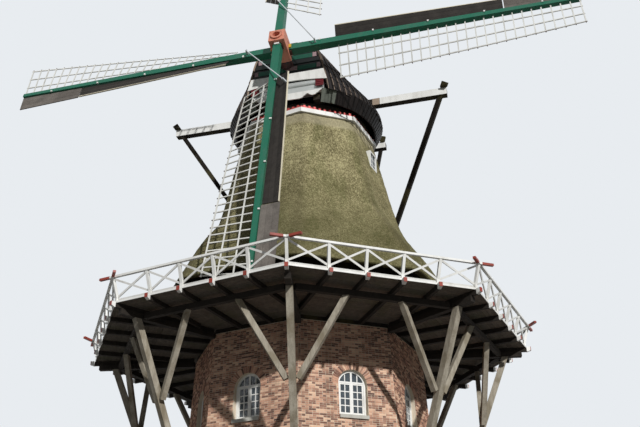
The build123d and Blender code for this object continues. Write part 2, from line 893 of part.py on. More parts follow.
def cross_beam(is_long, grow=0.0):
    """Long or short cross beam, or with grow the room that it needs in other pieces."""
    length, width, depth, height, back = (
        (long_beam_length, long_beam_width, long_beam_depth, long_beam_height, long_beam_back) if is_long else
        (short_beam_length, short_beam_width, short_beam_depth, short_beam_height, short_beam_back)
    )
    return cap_box(
        (-back - width / 2 - grow, -back + width / 2 + grow), (-length / 2, length / 2),
        (height - depth / 2 - grow, height + depth / 2 + grow),
    )


tail_slot_half = tail_pole_size / 2 + beam_hole_gap
roof_outer = roof_body(0, cap_front, 0)
roof_inner = roof_body(roof_thickness, cap_front + roof_thickness, roof_thickness)
for hand, name in ((1, "cap_roof_right"), (-1, "cap_roof_left")):
    with BuildPart() as roof_half:
        add(roof_outer)
        add(roof_inner, mode=Mode.SUBTRACT)
        add(cap_box(
            (-rim_radius * 2, cap_front * 2), (-rim_radius * 2, rim_radius * 2),
            (rim_height - rim_radius, rim_height + seat_gap),
        ), mode=Mode.SUBTRACT)
        add(cross_beam(True, beam_hole_gap), mode=Mode.SUBTRACT)
        add(cross_beam(False, beam_hole_gap), mode=Mode.SUBTRACT)
        add(cap_box(
            (-rim_radius * 2, -short_beam_back), (-tail_slot_half, tail_slot_half),
            (rim_height - rim_radius, short_beam_height),
        ), mode=Mode.SUBTRACT)
        parting = Plane(origin=cap_point(0, hand * seat_gap, 0), z_dir=direction(cap_turn + 90) * hand)
        split(bisect_by=parting, keep=Keep.TOP)
    write(roof_half.part, name)

with BuildPart() as gable:
    add(roof_inner)
    add(cap_box(
        (cap_front - gable_inset - gable_thickness, cap_front - gable_inset),
        (-rim_radius, rim_radius), (breast_beam_top + seat_gap, rim_height * 2),
    ), mode=Mode.INTERSECT)
    for low, high in gable_board_heights:
        with BuildPart(mode=Mode.PRIVATE) as gable_board:
            add(roof_inner)
            add(cap_box(
                (cap_front - gable_inset, cap_front - gable_inset + gable_board_thickness),
                (-rim_radius, rim_radius), (breast_beam_top + low, breast_beam_top + high),
            ), mode=Mode.INTERSECT)
        add(gable_board.part)
    add(shaft_bore(shaft_radius + 3 * beam_hole_gap), mode=Mode.SUBTRACT)
write(gable.part, "cap_gable")

# Fascia on the front edges of the roof, with an arched foot
with BuildPart() as fascia:
    with BuildSketch(elevation_plane(cap_turn, breast_beam_top - fascia_drop).offset(cap_front + seat_gap)):
        foot_half, head_half = fascia_foot_length / 2, fascia_head_length / 2
        with BuildLine():
            arch = ThreePointArc((-foot_half, 0), (0, fascia_arch), (foot_half, 0))
            Polyline(arch @ 1, (head_half, fascia_height), (-head_half, fascia_height), arch @ 0)
        make_face()
    extrude(amount=fascia_thickness)
write(fascia.part, "cap_fascia")

# Beard board under the breast beam: a deep middle lobe, and a scroll towards each end
with BuildPart() as beard:
    beard_top = sheer_top
    with BuildSketch(elevation_plane(cap_turn, beard_top).offset(cap_front - beard_set_back + seat_gap)):
        half = beard_length / 2
        with BuildLine():
            Line((-half, 0), (half, 0))
            right_wave = Spline(
                (half, 0), (half * 0.8, -beard_height * 0.8), (half * 0.66, -beard_height * 0.95),
                (half * 0.3, -beard_height), (0, -beard_height),
            )
            mirror(right_wave, about=Plane.YZ)
        make_face()
        throat = half * 0.52
        with Locations((-throat, -beard_height), (throat, -beard_height)):
            Ellipse(scroll_throat * 2, beard_height - scroll_throat, mode=Mode.SUBTRACT)
        eye = throat + 2 * scroll_throat - scroll_radius / 2
        with Locations((-eye, -beard_height * 0.62), (eye, -beard_height * 0.62)):
            Circle(scroll_radius)
    extrude(amount=beard_thickness)
write(beard.part, "cap_beard")

# Skirt of the cap: boards leaning out from over the curb to the rim
with BuildPart() as skirt:
    with BuildSketch(section_plane(cap_turn)):
        foot = sheer_bottom - cap_ring_height / 2
        with BuildLine():
            Polyline(
                (skirt_foot_radius, foot), (skirt_foot_radius + skirt_thickness, foot),
                (rim_radius - seat_gap, rim_height), (rim_radius - skirt_thickness, rim_height), close=True,
            )
        make_face()
    revolve(axis=Axis.Z)
    add(cap_box((cap_front - breast_beam_depth * 1.5, 2 * cap_front), (-rim_radius, rim_radius),
                (foot - seat_gap, rim_height + seat_gap)), mode=Mode.SUBTRACT)
    add(cap_box((-2 * rim_radius, -short_beam_back), (-tail_slot_half, tail_slot_half),
                (foot - seat_gap, rim_height + seat_gap)), mode=Mode.SUBTRACT)
write(skirt.part, "cap_skirt")

# Cross beams, braces and tail pole
long_beam_bottom = long_beam_height - long_beam_depth / 2
short_beam_bottom = short_beam_height - short_beam_depth / 2
write(Compound(children=[cross_beam(True), cross_beam(False)]), "cross_beams")
beam_posts = []
for hand in (-1, 1):
    middle = hand * sheer_spacing / 2
    short_post_back = sheer_back - sheer_width / 2
    for back, bottom in ((long_beam_back, long_beam_bottom), (short_post_back, short_beam_bottom)):
        beam_posts.append(cap_box(
            (-back - sheer_width / 2, -back + sheer_width / 2),
            (middle - sheer_width / 2, middle + sheer_width / 2),
            (sheer_top + seat_gap, bottom - seat_gap),
        ))
write(Compound(children=weather_posts + beam_posts), "cap_posts")

tail_head = cap_point(-short_beam_back, 0, short_beam_bottom)
tail_foot = cap_point(-tail_foot_back, 0, tail_foot_height)
with BuildPart() as tail_pole:
    run = (tail_head - tail_foot).normalized()
    add(bar_between(
        tail_foot, tail_head + run * tail_pole_size, tail_pole_size, tail_pole_size, direction(cap_turn),
    ))
    split(bisect_by=Plane.XY.offset(short_beam_bottom - seat_gap), keep=Keep.BOTTOM)
write(tail_pole.part, "tail_pole")


def tail_back(height):
    """Distance of the tail pole behind the axis at a height."""
    share = (short_beam_bottom - height) / (short_beam_bottom - tail_foot_height)
    return short_beam_back + (tail_foot_back - short_beam_back) * share


tail_braces = []
brace_heads = []
for length, back, bottom, depth, size, foot_height in (
    (
        long_beam_length, long_beam_back, long_beam_bottom, long_beam_depth,
        long_brace_size, long_brace_foot_height,
    ), (
        short_beam_length, short_beam_back, short_beam_bottom, short_beam_depth,
        short_brace_size, short_brace_foot_height,
    ),
):
    for hand in (-1, 1):
        head = cap_point(-back, hand * (length / 2 - brace_inset_ratio * size), bottom)
        foot = cap_point(-tail_back(foot_height), hand * (tail_pole_size / 2), foot_height)
        run = (head - foot).normalized()
        with BuildPart() as tail_brace:
            add(bar_between(foot, head + run * size * 3, size, size, direction(cap_turn)))
            split(bisect_by=Plane.XY.offset(bottom - seat_gap), keep=Keep.BOTTOM)
            with BuildPart(mode=Mode.PRIVATE) as pole_side:
                add(cap_box(
                    (-2 * tail_foot_back, 0), (-tail_pole_size / 2 - seat_gap, tail_pole_size / 2 + seat_gap),
                    (0, 2 * deck_height),
                ))
            add(pole_side.part, mode=Mode.SUBTRACT)
        tail_braces.append(tail_brace.part)
        with BuildPart() as brace_head:
            add(bar_between(
                foot, head + run * (depth + brace_head_height),
                size * brace_head_ratio, size, direction(cap_turn),
            ))
            split(bisect_by=Plane.XY.offset(bottom + depth + seat_gap), keep=Keep.TOP)
        brace_heads.append(brace_head.part)
write(Compound(children=tail_braces + brace_heads), "tail_braces")

# Winch on the back of the tail pole: a drum with four long hand spikes
pole_run = (tail_head - tail_foot).normalized()
winch_axis = pole_run.cross(direction(cap_turn + 90)) * -1
winch_seat = cap_point(-tail_back(winch_height), 0, winch_height)
winch_seat += winch_axis * (tail_pole_size / 2 + seat_gap)
with BuildPart() as winch:
    with BuildSketch(Plane(origin=winch_seat, x_dir=pole_run, z_dir=winch_axis)):
        Circle(winch_drum_radius)
    extrude(amount=winch_drum_length)
    for quarter in range(2):
        with BuildSketch(Plane(
            origin=winch_seat + winch_axis * (winch_drum_length - winch_arm_size * (1 + quarter)),
            x_dir=pole_run, z_dir=winch_axis,
        )):
            with Locations(Rotation(0, 0, 45 + 90 * quarter)):
                Rectangle(winch_arm_length, winch_arm_size)
        extrude(amount=winch_arm_size)
write(winch.part, "tail_winch")


# Sails. On a sail's plane x runs out along the stock, y to the leading side and z forward
def sail_plane(arm):
    """Plane of one sail: arm 0 is up, counted anticlockwise as seen from the front."""
    sideways = direction(cap_turn + 90)
    upright = shaft_axis.cross(sideways)
    turn = math.radians(90 * arm)
    out = upright * math.cos(turn) - sideways * math.sin(turn)
    shift = stock_spacing / 2 if arm % 2 == 0 else -stock_spacing / 2
    return Plane(origin=hub + shaft_axis * shift, x_dir=out, z_dir=shaft_axis)


def weather(along):
    """Twist of the sail at a distance from the hub, in radians."""
    share = (along - first_bar) / (bar_pitch * (sail_bars - 1))
    return math.radians(weather_root + (weather_tip - weather_root) * share)


with BuildPart() as windshaft:
    with BuildSketch(Plane(origin=hub - shaft_axis * shaft_back, z_dir=shaft_axis)):
        Circle(shaft_radius)
    extrude(amount=shaft_back)
    with BuildSketch(sail_plane(0).offset(-stock_spacing / 2 - poll_length / 2)):
        Rectangle(poll_size, poll_size)
    extrude(amount=poll_length)
    with BuildSketch(sail_plane(0).offset(-stock_spacing / 2 + poll_length / 2)):
        Circle(poll_boss_radius)
    extrude(amount=poll_boss_length)
    with BuildSketch(sail_plane(0).offset(-stock_spacing / 2 + poll_length / 2 + poll_boss_length)):
        Circle(poll_hole_radius)
    extrude(amount=-poll_hole_depth, mode=Mode.SUBTRACT)
    for arm in (0, 1):
        with BuildSketch(Plane(origin=sail_plane(arm).origin - sail_plane(arm).x_dir * poll_size,
                               x_dir=sail_plane(arm).y_dir, z_dir=sail_plane(arm).x_dir)):
            Rectangle(stock_root + 2 * seat_gap, stock_root + 2 * seat_gap)
        extrude(amount=2 * poll_size, mode=Mode.SUBTRACT)
write(windshaft.part, "windshaft")


def stock_half(along):
    """Half the thickness of a stock at a distance from the hub."""
    share = max(0.0, (along - poll_size) / (stock_length / 2 - poll_size))
    return (stock_root + (stock_tip - stock_root) * share) / 2


def stock_body(arm, grow=0.0):
    """Tapered stock of a pair of sails, or with grow the room that it needs in other pieces."""
    plane = sail_plane(arm)
    with BuildPart() as stock:
        for station, size in (
            (-stock_length / 2 - grow, stock_tip), (-poll_size, stock_root),
            (poll_size, stock_root), (stock_length / 2 + grow, stock_tip),
        ):
            station_middle = plane.origin + plane.x_dir * station
            with BuildSketch(Plane(origin=station_middle, x_dir=plane.y_dir, z_dir=plane.x_dir)):
                Rectangle(size + 2 * grow, size + 2 * grow)
        loft(ruled=True)
    return stock.part


write(stock_body(0), "stock_outer")
write(stock_body(1), "stock_inner")


def twisted_board(arm, start, end, inner, outer, thickness, lift=0.0):
    """Board that follows the sail's twist, from inner to outer across it; outer is the leading side."""
    base_plane = sail_plane(arm)
    with BuildPart() as board:
        for span in range(lath_spans + 1):
            along = start + (end - start) * span / lath_spans
            angle = weather(along)
            across = base_plane.y_dir * math.cos(angle) + base_plane.z_dir * math.sin(angle)
            origin = base_plane.origin + base_plane.x_dir * along + across * (inner + outer) / 2
            with BuildSketch(Plane(origin=origin, x_dir=across, z_dir=base_plane.x_dir)):
                with Locations((0, lift)):
                    Rectangle(abs(outer - inner), thickness)
        loft(ruled=True)
    return board.part


last_bar = first_bar + bar_pitch * (sail_bars - 1)
windboards = []
for pair in (0, 1):
    lattices = []
    stock_room = stock_body(pair, seat_gap)
    for arm in (pair, pair + 2):
        base_plane = sail_plane(arm)
        with BuildPart() as lattice:
            for bar in range(sail_bars):
                along = first_bar + bar * bar_pitch
                angle = weather(along)
                across = base_plane.y_dir * math.cos(angle) + base_plane.z_dir * math.sin(angle)
                origin = base_plane.origin + base_plane.x_dir * along
                with BuildSketch(Plane(origin=origin, x_dir=base_plane.x_dir, z_dir=across * -1)):
                    Rectangle(bar_width, bar_thickness)
                extrude(amount=lattice_depth + lath_width / 2)
            for lath in range(lath_count):
                middle = lattice_depth * (lath + 1) / lath_count
                add(twisted_board(
                    arm, first_bar - bar_width, last_bar + bar_width,
                    -middle - lath_width / 2, -middle + lath_width / 2, lath_thickness, 0,
                ))
            add(stock_room, mode=Mode.SUBTRACT)
        lattices.append(lattice.part)
        for start, end, width in (
            (windboard_starts[pair], tip_board_start - tip_board_gap, windboard_width),
            (tip_board_start, last_bar + bar_width, tip_board_width),
        ):
            with BuildPart() as windboard:
                outer_edge = stock_root / 2 + width
                add(twisted_board(arm, start, end, stock_tip / 2, outer_edge, windboard_thickness))
                add(stock_room, mode=Mode.SUBTRACT)
            windboards.append(windboard.part)
    write(Compound(children=lattices), ("sail_lattices_outer", "sail_lattices_inner")[pair])
write(Compound(children=windboards), "windboards")

# Stays: a rod on two brackets, from the inner stock across to the leading edge of an outer sail
stays = []
stay_bracket_size = stay_diameter * 1.4
stay_reach = stock_root / 2 + windboard_width - stay_edge_inset
twist_rate = math.radians(weather_root - weather_tip) / (last_bar - first_bar)
stay_board_gap = seat_gap + twist_rate * (stay_reach + stay_bracket_size) * stay_bracket_size / 2
for arm in (0, 2):
    outer_plane = sail_plane(arm)
    inner_plane = sail_plane((arm + 3) % 4)
    stock_face = stock_half(stay_start - stay_bracket_size) + seat_gap
    stock_foot = inner_plane.origin + inner_plane.x_dir * stay_start + inner_plane.z_dir * stock_face
    angle = weather(stay_end)
    board_across = outer_plane.y_dir * math.cos(angle) + outer_plane.z_dir * math.sin(angle)
    board_normal = outer_plane.x_dir.cross(board_across)
    board_foot = (outer_plane.origin + outer_plane.x_dir * stay_end
                  + board_across * stay_reach
                  + board_normal * (windboard_thickness / 2 + stay_board_gap))
    low = stock_foot + inner_plane.z_dir * stay_bracket
    high = board_foot + board_normal * stay_bracket
    with BuildPart() as stay:
        for foot, top, facing in ((stock_foot, low, inner_plane.x_dir), (board_foot, high, board_across)):
            head = top + (top - foot).normalized() * stay_diameter
            add(bar_between(foot, head, stay_bracket_size, stay_bracket_size, facing))
        with BuildSketch(Plane(origin=low, z_dir=high - low)):
            Circle(stay_diameter / 2)
        extrude(amount=(high - low).length)
    stays.append(stay.part)
write(Compound(children=stays), "sail_stays")
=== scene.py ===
"""Looks of a thatched gallery windmill, built around its packed construction.

Metres, +Z up, with the tower's axis at the origin. Turns are in degrees in plan, anticlockwise
from -Y. The sub-assemblies below go from the ground up: brick base, gallery, smock, cap, sails.
"""

import logging
import math
import random
from dataclasses import dataclass, field
from enum import Enum
from typing import Any, Iterable, Sequence

import bmesh
import bpy
from mathutils import Matrix, Vector, noise
from mathutils.bvhtree import BVHTree


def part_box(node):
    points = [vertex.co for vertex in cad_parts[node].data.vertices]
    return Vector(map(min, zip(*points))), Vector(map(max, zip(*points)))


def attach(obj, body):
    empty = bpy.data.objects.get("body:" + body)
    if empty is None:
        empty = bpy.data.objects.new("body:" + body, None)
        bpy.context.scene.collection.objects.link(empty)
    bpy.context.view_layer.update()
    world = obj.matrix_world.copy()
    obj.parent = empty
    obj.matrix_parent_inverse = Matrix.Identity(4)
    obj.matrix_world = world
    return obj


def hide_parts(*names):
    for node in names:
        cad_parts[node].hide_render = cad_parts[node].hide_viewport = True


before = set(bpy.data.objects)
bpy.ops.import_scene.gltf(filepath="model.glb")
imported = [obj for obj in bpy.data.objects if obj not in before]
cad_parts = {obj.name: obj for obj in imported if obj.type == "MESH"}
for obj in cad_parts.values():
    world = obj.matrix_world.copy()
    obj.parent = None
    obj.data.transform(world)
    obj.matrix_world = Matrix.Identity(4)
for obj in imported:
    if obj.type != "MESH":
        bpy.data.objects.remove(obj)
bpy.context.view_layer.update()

log = logging.getLogger("windmill")

SIDES = 8
SIDE_TURN = 360 / SIDES
HALF_SIDE = math.radians(SIDE_TURN / 2)
HEADING = -10.75
SQUARE = ((-1, -1), (1, -1), (1, 1), (-1, 1))
MATT = 0.12
SATIN = 0.3


def rgb(red: float, green: float, blue: float) -> tuple[float, float, float, float]:
    """Turn a colour of 0 to 255 a channel, as a screen shows it, into the shader's linear colour.

    Args:
        red: Red channel.
        green: Green channel.
        blue: Blue channel.

    Returns:
        Linear red, green and blue, and an alpha of one.
    """
    def linear(channel: float) -> float:
        """Linear value of one channel."""
        share = channel / 255
        return share / 12.92 if share <= 0.04045 else ((share + 0.055) / 1.055) ** 2.4
    return (linear(red), linear(green), linear(blue), 1.0)


def direction(turn: float) -> Vector:
    """Unit vector in plan, turned anticlockwise from -Y."""
    angle = math.radians(turn)
    return Vector((math.sin(angle), -math.cos(angle), 0))


def apothem(radius: float) -> float:
    """Distance from the axis to the middle of an octagon's side."""
    return radius * math.cos(HALF_SIDE)


def side_middle(side: int) -> float:
    """Turn of the middle of a side."""
    return (side + 0.5) * SIDE_TURN


class Value:
    """A shader value that takes part in Python arithmetic by adding Math nodes."""

    def __init__(self, graph: "Graph", socket: bpy.types.NodeSocket) -> None:
        """Wrap an output socket of a node."""
        self.graph = graph
        self.socket = socket

    def _math(self, operation: str, first: Any, second: Any) -> "Value":
        """Add one Math node.

        Args:
            operation: The node's operation.
            first: First operand, a Value or a number.
            second: Second operand, a Value or a number.

        Returns:
            The node's result.
        """
        return self.graph.node("ShaderNodeMath", {"operation": operation}, {0: first, 1: second})

    def __add__(self, other: Any) -> "Value":
        """Sum."""
        return self._math("ADD", self, other)

    __radd__ = __add__

    def __sub__(self, other: Any) -> "Value":
        """Difference."""
        return self._math("SUBTRACT", self, other)

    def __rsub__(self, other: Any) -> "Value":
        """Difference from a number."""
        return self._math("SUBTRACT", other, self)

    def __mul__(self, other: Any) -> "Value":
        """Product."""
        return self._math("MULTIPLY", self, other)

    __rmul__ = __mul__

    def span(self, low: float, high: float) -> "Value":
        """Zero below low, one above high, and smooth in between."""
        sockets = {"Value": self, "From Min": low, "From Max": high}
        return self.graph.node("ShaderNodeMapRange", {"interpolation_type": "SMOOTHSTEP"}, sockets)


class Graph:
    """Adds nodes to one tree, that of a material or of the world."""

    def __init__(self, tree: bpy.types.NodeTree) -> None:
        """Start on an emptied tree."""
        self.tree = tree
        self.tree.nodes.clear()

    def put(self, socket: bpy.types.NodeSocket, content: Any) -> None:
        """Link a Value to an input socket, or set the socket to a number or colour.

        Args:
            socket: The input socket.
            content: A Value, or what the socket is set to.
        """
        if isinstance(content, Value):
            self.tree.links.new(content.socket, socket)
        else:
            socket.default_value = content

    def node(self, kind: str, settings: dict[str, Any], sockets: dict[Any, Any], output: Any = 0) -> Value:
        """Add any node.

        Args:
            kind: Blender's name of the node type.
            settings: The node's own settings, set first; stops holds the stops of a ramp.
            sockets: Values, numbers or colours of its inputs, by name or number.
            output: Name or number of the output that is wanted.

        Returns:
            The wanted output.
        """
        made = self.tree.nodes.new(kind)
        for key, setting in settings.items():
            if key == "stops":
                self._set_stops(made.color_ramp, setting)
            else:
                setattr(made, key, setting)
        for key, content in sockets.items():
            self.put(made.inputs[key], content)
        return Value(self, made.outputs[output])

    @staticmethod
    def _set_stops(ramp: bpy.types.ColorRamp, stops: Sequence[tuple[float, Sequence[float]]]) -> None:
        """Give a colour ramp its stops, each a place and a colour.

        Args:
            ramp: The ramp, with two stops or more wanted.
            stops: Places from 0 to 1 and linear colours.
        """
        while len(ramp.elements) < len(stops):
            ramp.elements.new(1.0)
        for element, (place, colour) in zip(ramp.elements, stops):
            element.position = place
            element.color = colour

    def pale_rays(self) -> Value:
        """One on the rays that see the pale surroundings: from the camera, off gloss and through glass.

        Returns:
            The sum of the three kinds of ray.
        """
        path = self.node("ShaderNodeLightPath", {}, {}).socket.node.outputs
        rays = [Value(self, path[ray]) for ray in ("Is Camera Ray", "Is Glossy Ray", "Is Transmission Ray")]
        return rays[0] + rays[1] + rays[2]


class Shader(Graph):
    """Builds the nodes of one material."""

    def __init__(self, name: str) -> None:
        """Start an empty material with a Principled shader.

        Args:
            name: The material's name.
        """
        self.material = bpy.data.materials.new(name)
        self.material.use_nodes = True
        super().__init__(self.material.node_tree)
        output = self.tree.nodes.new("ShaderNodeOutputMaterial")
        self.surface = self.tree.nodes.new("ShaderNodeBsdfPrincipled")
        self.tree.links.new(self.surface.outputs[0], output.inputs["Surface"])

    def principled(self, sockets: dict[str, Any]) -> bpy.types.Material:
        """Set the Principled shader's inputs and return the material.

        Args:
            sockets: Values, numbers or colours by the input's name.

        Returns:
            The material.
        """
        for key, content in sockets.items():
            self.put(self.surface.inputs[key], content)
        return self.material

    def place(self) -> Value:
        """Position on the piece, in metres."""
        return self.node("ShaderNodeTexCoord", {}, {}, "Object")

    def axes(self) -> tuple[Value, Value, Value]:
        """The three coordinates of the position.

        Returns:
            X, Y and Z in metres.
        """
        parts = self.node("ShaderNodeSeparateXYZ", {}, {0: self.place()})
        outputs = parts.socket.node.outputs
        return Value(self, outputs[0]), Value(self, outputs[1]), Value(self, outputs[2])

    def stretched(self, factors: Sequence[float], turn: float = 0.0) -> Value:
        """Position turned about the vertical and scaled, for grain and streaks.

        Args:
            factors: Scale along each axis, small along the grain.
            turn: Turn in plan, in degrees.

        Returns:
            The turned and scaled position.
        """
        settings = {"vector_type": "POINT"}
        sockets = {"Vector": self.place(), "Rotation": (0, 0, -math.radians(turn)), "Scale": tuple(factors)}
        return self.node("ShaderNodeMapping", settings, sockets)

    def noise(self, scale: float, detail: float = 4.0, where: Value | None = None,
              rough: float = 0.55) -> Value:
        """Noise between about 0.2 and 0.8."""
        sockets = {"Vector": where or self.place(), "Scale": scale, "Detail": detail, "Roughness": rough}
        return self.node("ShaderNodeTexNoise", {}, sockets, 0)

    def ramp(self, value: Value, stops: Sequence[tuple[float, Sequence[float]]]) -> Value:
        """Colour ramp over a value."""
        return self.node("ShaderNodeValToRGB", {"stops": stops}, {0: value})

    def mix(self, factor: Any, first: Any, second: Any) -> Value:
        """Mix two colours by a factor."""
        return self.node("ShaderNodeMix", {"data_type": "RGBA"}, {0: factor, 6: first, 7: second}, 2)

    def bump(self, height: Value, distance: float, strength: float) -> Value:
        """Bump in metres."""
        return self.node("ShaderNodeBump", {}, {"Strength": strength, "Distance": distance, "Height": height})

    def tone(self) -> Value:
        """Random number of each board or block, stored on the mesh."""
        return self.node("ShaderNodeAttribute", {"attribute_name": "tone"}, {}, "Fac")


@dataclass(frozen=True)
class Brick:
    """Hand-made brick, each with a tone of its own, weathered in patches."""

    name: str = "hand_made_brick"

    def make(self) -> bpy.types.Material:
        """Build the material.

        Returns:
            The new material.
        """
        s = Shader(self.name)
        height = s.axes()[2]
        patches = s.noise(0.9, 4.0)
        grit = s.noise(60.0, 3.0)
        pick = s.tone() * 0.85 + (patches - 0.5) * 0.6 + grit * 0.15
        brick = s.ramp(pick, [
            (0.05, rgb(104, 78, 70)), (0.35, rgb(162, 120, 102)),
            (0.65, rgb(210, 162, 136)), (0.95, rgb(238, 202, 172)),
        ])
        streaks = s.noise(1.0, 5.0, s.stretched((2.2, 2.2, 0.22)))
        brick = s.mix(streaks.span(0.5, 0.72) * 0.35, brick, rgb(122, 96, 80))
        low = 1 - height.span(0.0, 2.2)
        brick = s.mix(low * s.noise(2.4).span(0.35, 0.7) * 0.5, brick, rgb(104, 96, 72))
        return s.principled({
            "Base Color": brick, "Roughness": 0.86 + grit * 0.1, "Normal": s.bump(grit, 0.004, 0.7),
            "Specular IOR Level": MATT,
        })


@dataclass(frozen=True)
class Mortar:
    """Pale lime mortar, stained in streaks and damp near the ground."""

    name: str = "lime_mortar"

    def make(self) -> bpy.types.Material:
        """Build the material.

        Returns:
            The new material.
        """
        s = Shader(self.name)
        height = s.axes()[2]
        grit = s.noise(90.0, 3.0)
        lime = s.mix(s.noise(3.0), rgb(230, 216, 194), rgb(200, 184, 162))
        streaks = s.noise(1.0, 5.0, s.stretched((2.2, 2.2, 0.22)))
        lime = s.mix(streaks.span(0.5, 0.72) * 0.4, lime, rgb(128, 110, 96))
        low = 1 - height.span(0.0, 2.2)
        lime = s.mix(low * s.noise(2.4).span(0.35, 0.7) * 0.5, lime, rgb(104, 98, 76))
        return s.principled({
            "Base Color": lime, "Roughness": 0.92, "Normal": s.bump(grit, 0.003, 0.6),
            "Specular IOR Level": MATT,
        })


@dataclass(frozen=True)
class Reed:
    """Weathered reed thatch: cut reed ends, moss and rain streaks, and a paler collar on top, partly its own
    colour and partly painted light.
    """

    name: str = "reed_thatch"
    collar_low: float = 20.1
    collar_high: float = 20.35

    def make(self) -> bpy.types.Material:
        """Build the material.

        Returns:
            The new material.
        """
        s = Shader(self.name)
        height = s.axes()[2]
        collar = height.span(self.collar_low, self.collar_high)
        straw = s.noise(30.0, 6.0, s.stretched((1.0, 1.0, 0.12)), 0.7)
        speckle = s.noise(70.0, 3.0, s.stretched((1.0, 1.0, 0.5)), 0.75)
        clumps = s.noise(9.0, 4.0)
        patches = s.noise(0.8, 5.0)
        tufts = s.noise(22.0, 4.0, s.stretched((1.0, 1.0, 0.6)), 0.75)
        # The collar lifts the speckle and, below, mixes towards pale grey: partly the band's own paler reed,
        # partly painted light that offsets the cap's shadow.
        speckles = (speckle * 0.3 + tufts * 0.8) * (1 - collar * 0.5) + collar * 0.34
        shade = straw * 0.25 + speckles + clumps * 0.25 + patches * 0.3 - 0.41
        reed = s.ramp(shade, [
            (0.30, rgb(50, 46, 30)), (0.42, rgb(102, 95, 66)),
            (0.54, rgb(146, 137, 100)), (0.68, rgb(206, 196, 150)),
        ])
        streaks = s.noise(1.4, 5.0, s.stretched((1.0, 1.0, 0.16)))
        reed = s.mix(streaks.span(0.5, 0.68) * 0.4, reed, rgb(88, 92, 50))
        # Pale grey on the collar: partly its own colour, partly painted light against the cap's shadow.
        reed = s.mix(collar * 0.45, reed, rgb(168, 158, 138))
        reed = s.mix((1 - height.span(14.0, 18.5)) * 0.6, reed, rgb(82, 80, 48))
        # Darker along the hips: the coat's tone is one on each hip and falls off beside it.
        reed = s.mix(s.tone() * 0.35, reed, rgb(80, 72, 52))
        return s.principled({
            "Base Color": reed, "Roughness": 0.94, "Specular IOR Level": MATT,
            "Normal": s.bump(straw + speckle * 0.8 + tufts, 0.035, 0.9),
        })


@dataclass(frozen=True)
class Timber:
    """Bare or tarred timber with grain, checks and weathering."""

    name: str
    light: tuple[float, ...]
    dark: tuple[float, ...]
    stain: tuple[float, ...]
    grain: tuple[float, float, float] = (1.0, 1.0, 0.12)
    stain_share: float = 0.5
    roughness: float = 0.8
    turn: float = 0.0

    def make(self) -> bpy.types.Material:
        """Build the material.

        Returns:
            The new material.
        """
        s = Shader(self.name)
        where = s.stretched(self.grain, self.turn)
        fine = s.noise(46.0, 6.0, where, 0.65)
        broad = s.noise(7.0, 4.0, where)
        shade = fine * 0.6 + broad * 0.5 + s.tone() * 0.16 - 0.08
        wood = s.ramp(shade, [(0.25, self.dark), (0.72, self.light)])
        wet = s.noise(1.3, 5.0)
        wood = s.mix(wet.span(0.48, 0.66) * self.stain_share, wood, self.stain)
        checks = fine.span(0.60, 0.70)
        wood = s.mix(checks * 0.45, wood, rgb(30, 26, 22))
        return s.principled({
            "Base Color": wood, "Roughness": self.roughness + (fine - 0.5) * 0.2, "Specular IOR Level": MATT,
            "Normal": s.bump(fine - checks * 0.5, 0.004, 0.7),
        })


@dataclass(frozen=True)
class Paint:
    """Brushed paint on wood, with dirt in broad patches and worn spots."""

    name: str
    colour: tuple[float, ...]
    dirt: tuple[float, ...]
    bare: tuple[float, ...] = rgb(110, 98, 82)
    wear: float = 0.25
    dirt_share: float = 0.35
    roughness: float = 0.42
    grain: tuple[float, float, float] = (1.0, 1.0, 0.2)

    def make(self) -> bpy.types.Material:
        """Build the material.

        Returns:
            The new material.
        """
        s = Shader(self.name)
        brushed = s.noise(38.0, 4.0, s.stretched(self.grain))
        cloud = s.noise(1.1, 5.0)
        grime = s.noise(4.0, 6.0, s.stretched((1.0, 1.0, 0.35)))
        skin = s.mix(grime.span(0.46, 0.74) * self.dirt_share, self.colour, self.dirt)
        skin = s.mix(cloud.span(0.4, 0.7) * self.dirt_share * 0.5, skin, self.dirt)
        chips = s.noise(17.0, 6.0, s.stretched(self.grain), 0.7).span(0.66, 0.69) * self.wear
        skin = s.mix(chips, skin, self.bare)
        return s.principled({
            "Base Color": skin, "Roughness": self.roughness + chips * 0.4 + grime * 0.12,
            "Specular IOR Level": SATIN, "Normal": s.bump(brushed * 0.5 - chips, 0.002, 0.5),
        })


@dataclass(frozen=True)
class Glass:
    """Old window glass, slightly uneven, tinted dark as painted shade of the unlit room behind it."""

    name: str = "old_window_glass"

    def make(self) -> bpy.types.Material:
        """Build the material.

        Returns:
            The new material.
        """
        s = Shader(self.name)
        waves = s.noise(5.0, 2.0)
        dust = s.noise(9.0, 4.0)
        # The dark base colour and the high alpha are painted shade: the room behind the panes is drawn as
        # dark glass.
        return s.principled({
            "Base Color": s.mix(dust, rgb(58, 66, 74), rgb(96, 106, 112)), "Roughness": 0.04 + dust * 0.12,
            "Metallic": 0.0, "Alpha": 0.62 + dust * 0.2, "Normal": s.bump(waves, 0.004, 0.4),
        })


@dataclass(frozen=True)
class CastPaint:
    """Paint on the iron windshaft: bright on the poll end, much darker on the shaft behind it."""

    name: str = "painted_cast_iron"
    heading: float = HEADING
    poll_back: float = 3.33

    def make(self) -> bpy.types.Material:
        """Build the material.

        Returns:
            The new material.
        """
        s = Shader(self.name)
        x, y, _ = s.axes()
        ahead = direction(self.heading)
        poll = (x * ahead.x + y * ahead.y).span(self.poll_back - 0.01, self.poll_back + 0.01)
        mottle = s.noise(5.0, 6.0)
        grit = s.noise(70.0, 3.0)
        fresh = s.mix(mottle.span(0.5, 0.7) * 0.7, rgb(204, 132, 108), rgb(140, 84, 66))
        # Much darker on the shaft behind the poll end, where it runs into the cap's front.
        shaft_dark = s.mix(mottle.span(0.42, 0.6), rgb(72, 34, 30), rgb(40, 24, 22))
        return s.principled({
            "Base Color": s.mix(poll, shaft_dark, fresh), "Roughness": 0.5 + mottle * 0.25,
            "Normal": s.bump(grit, 0.003, 0.5),
        })


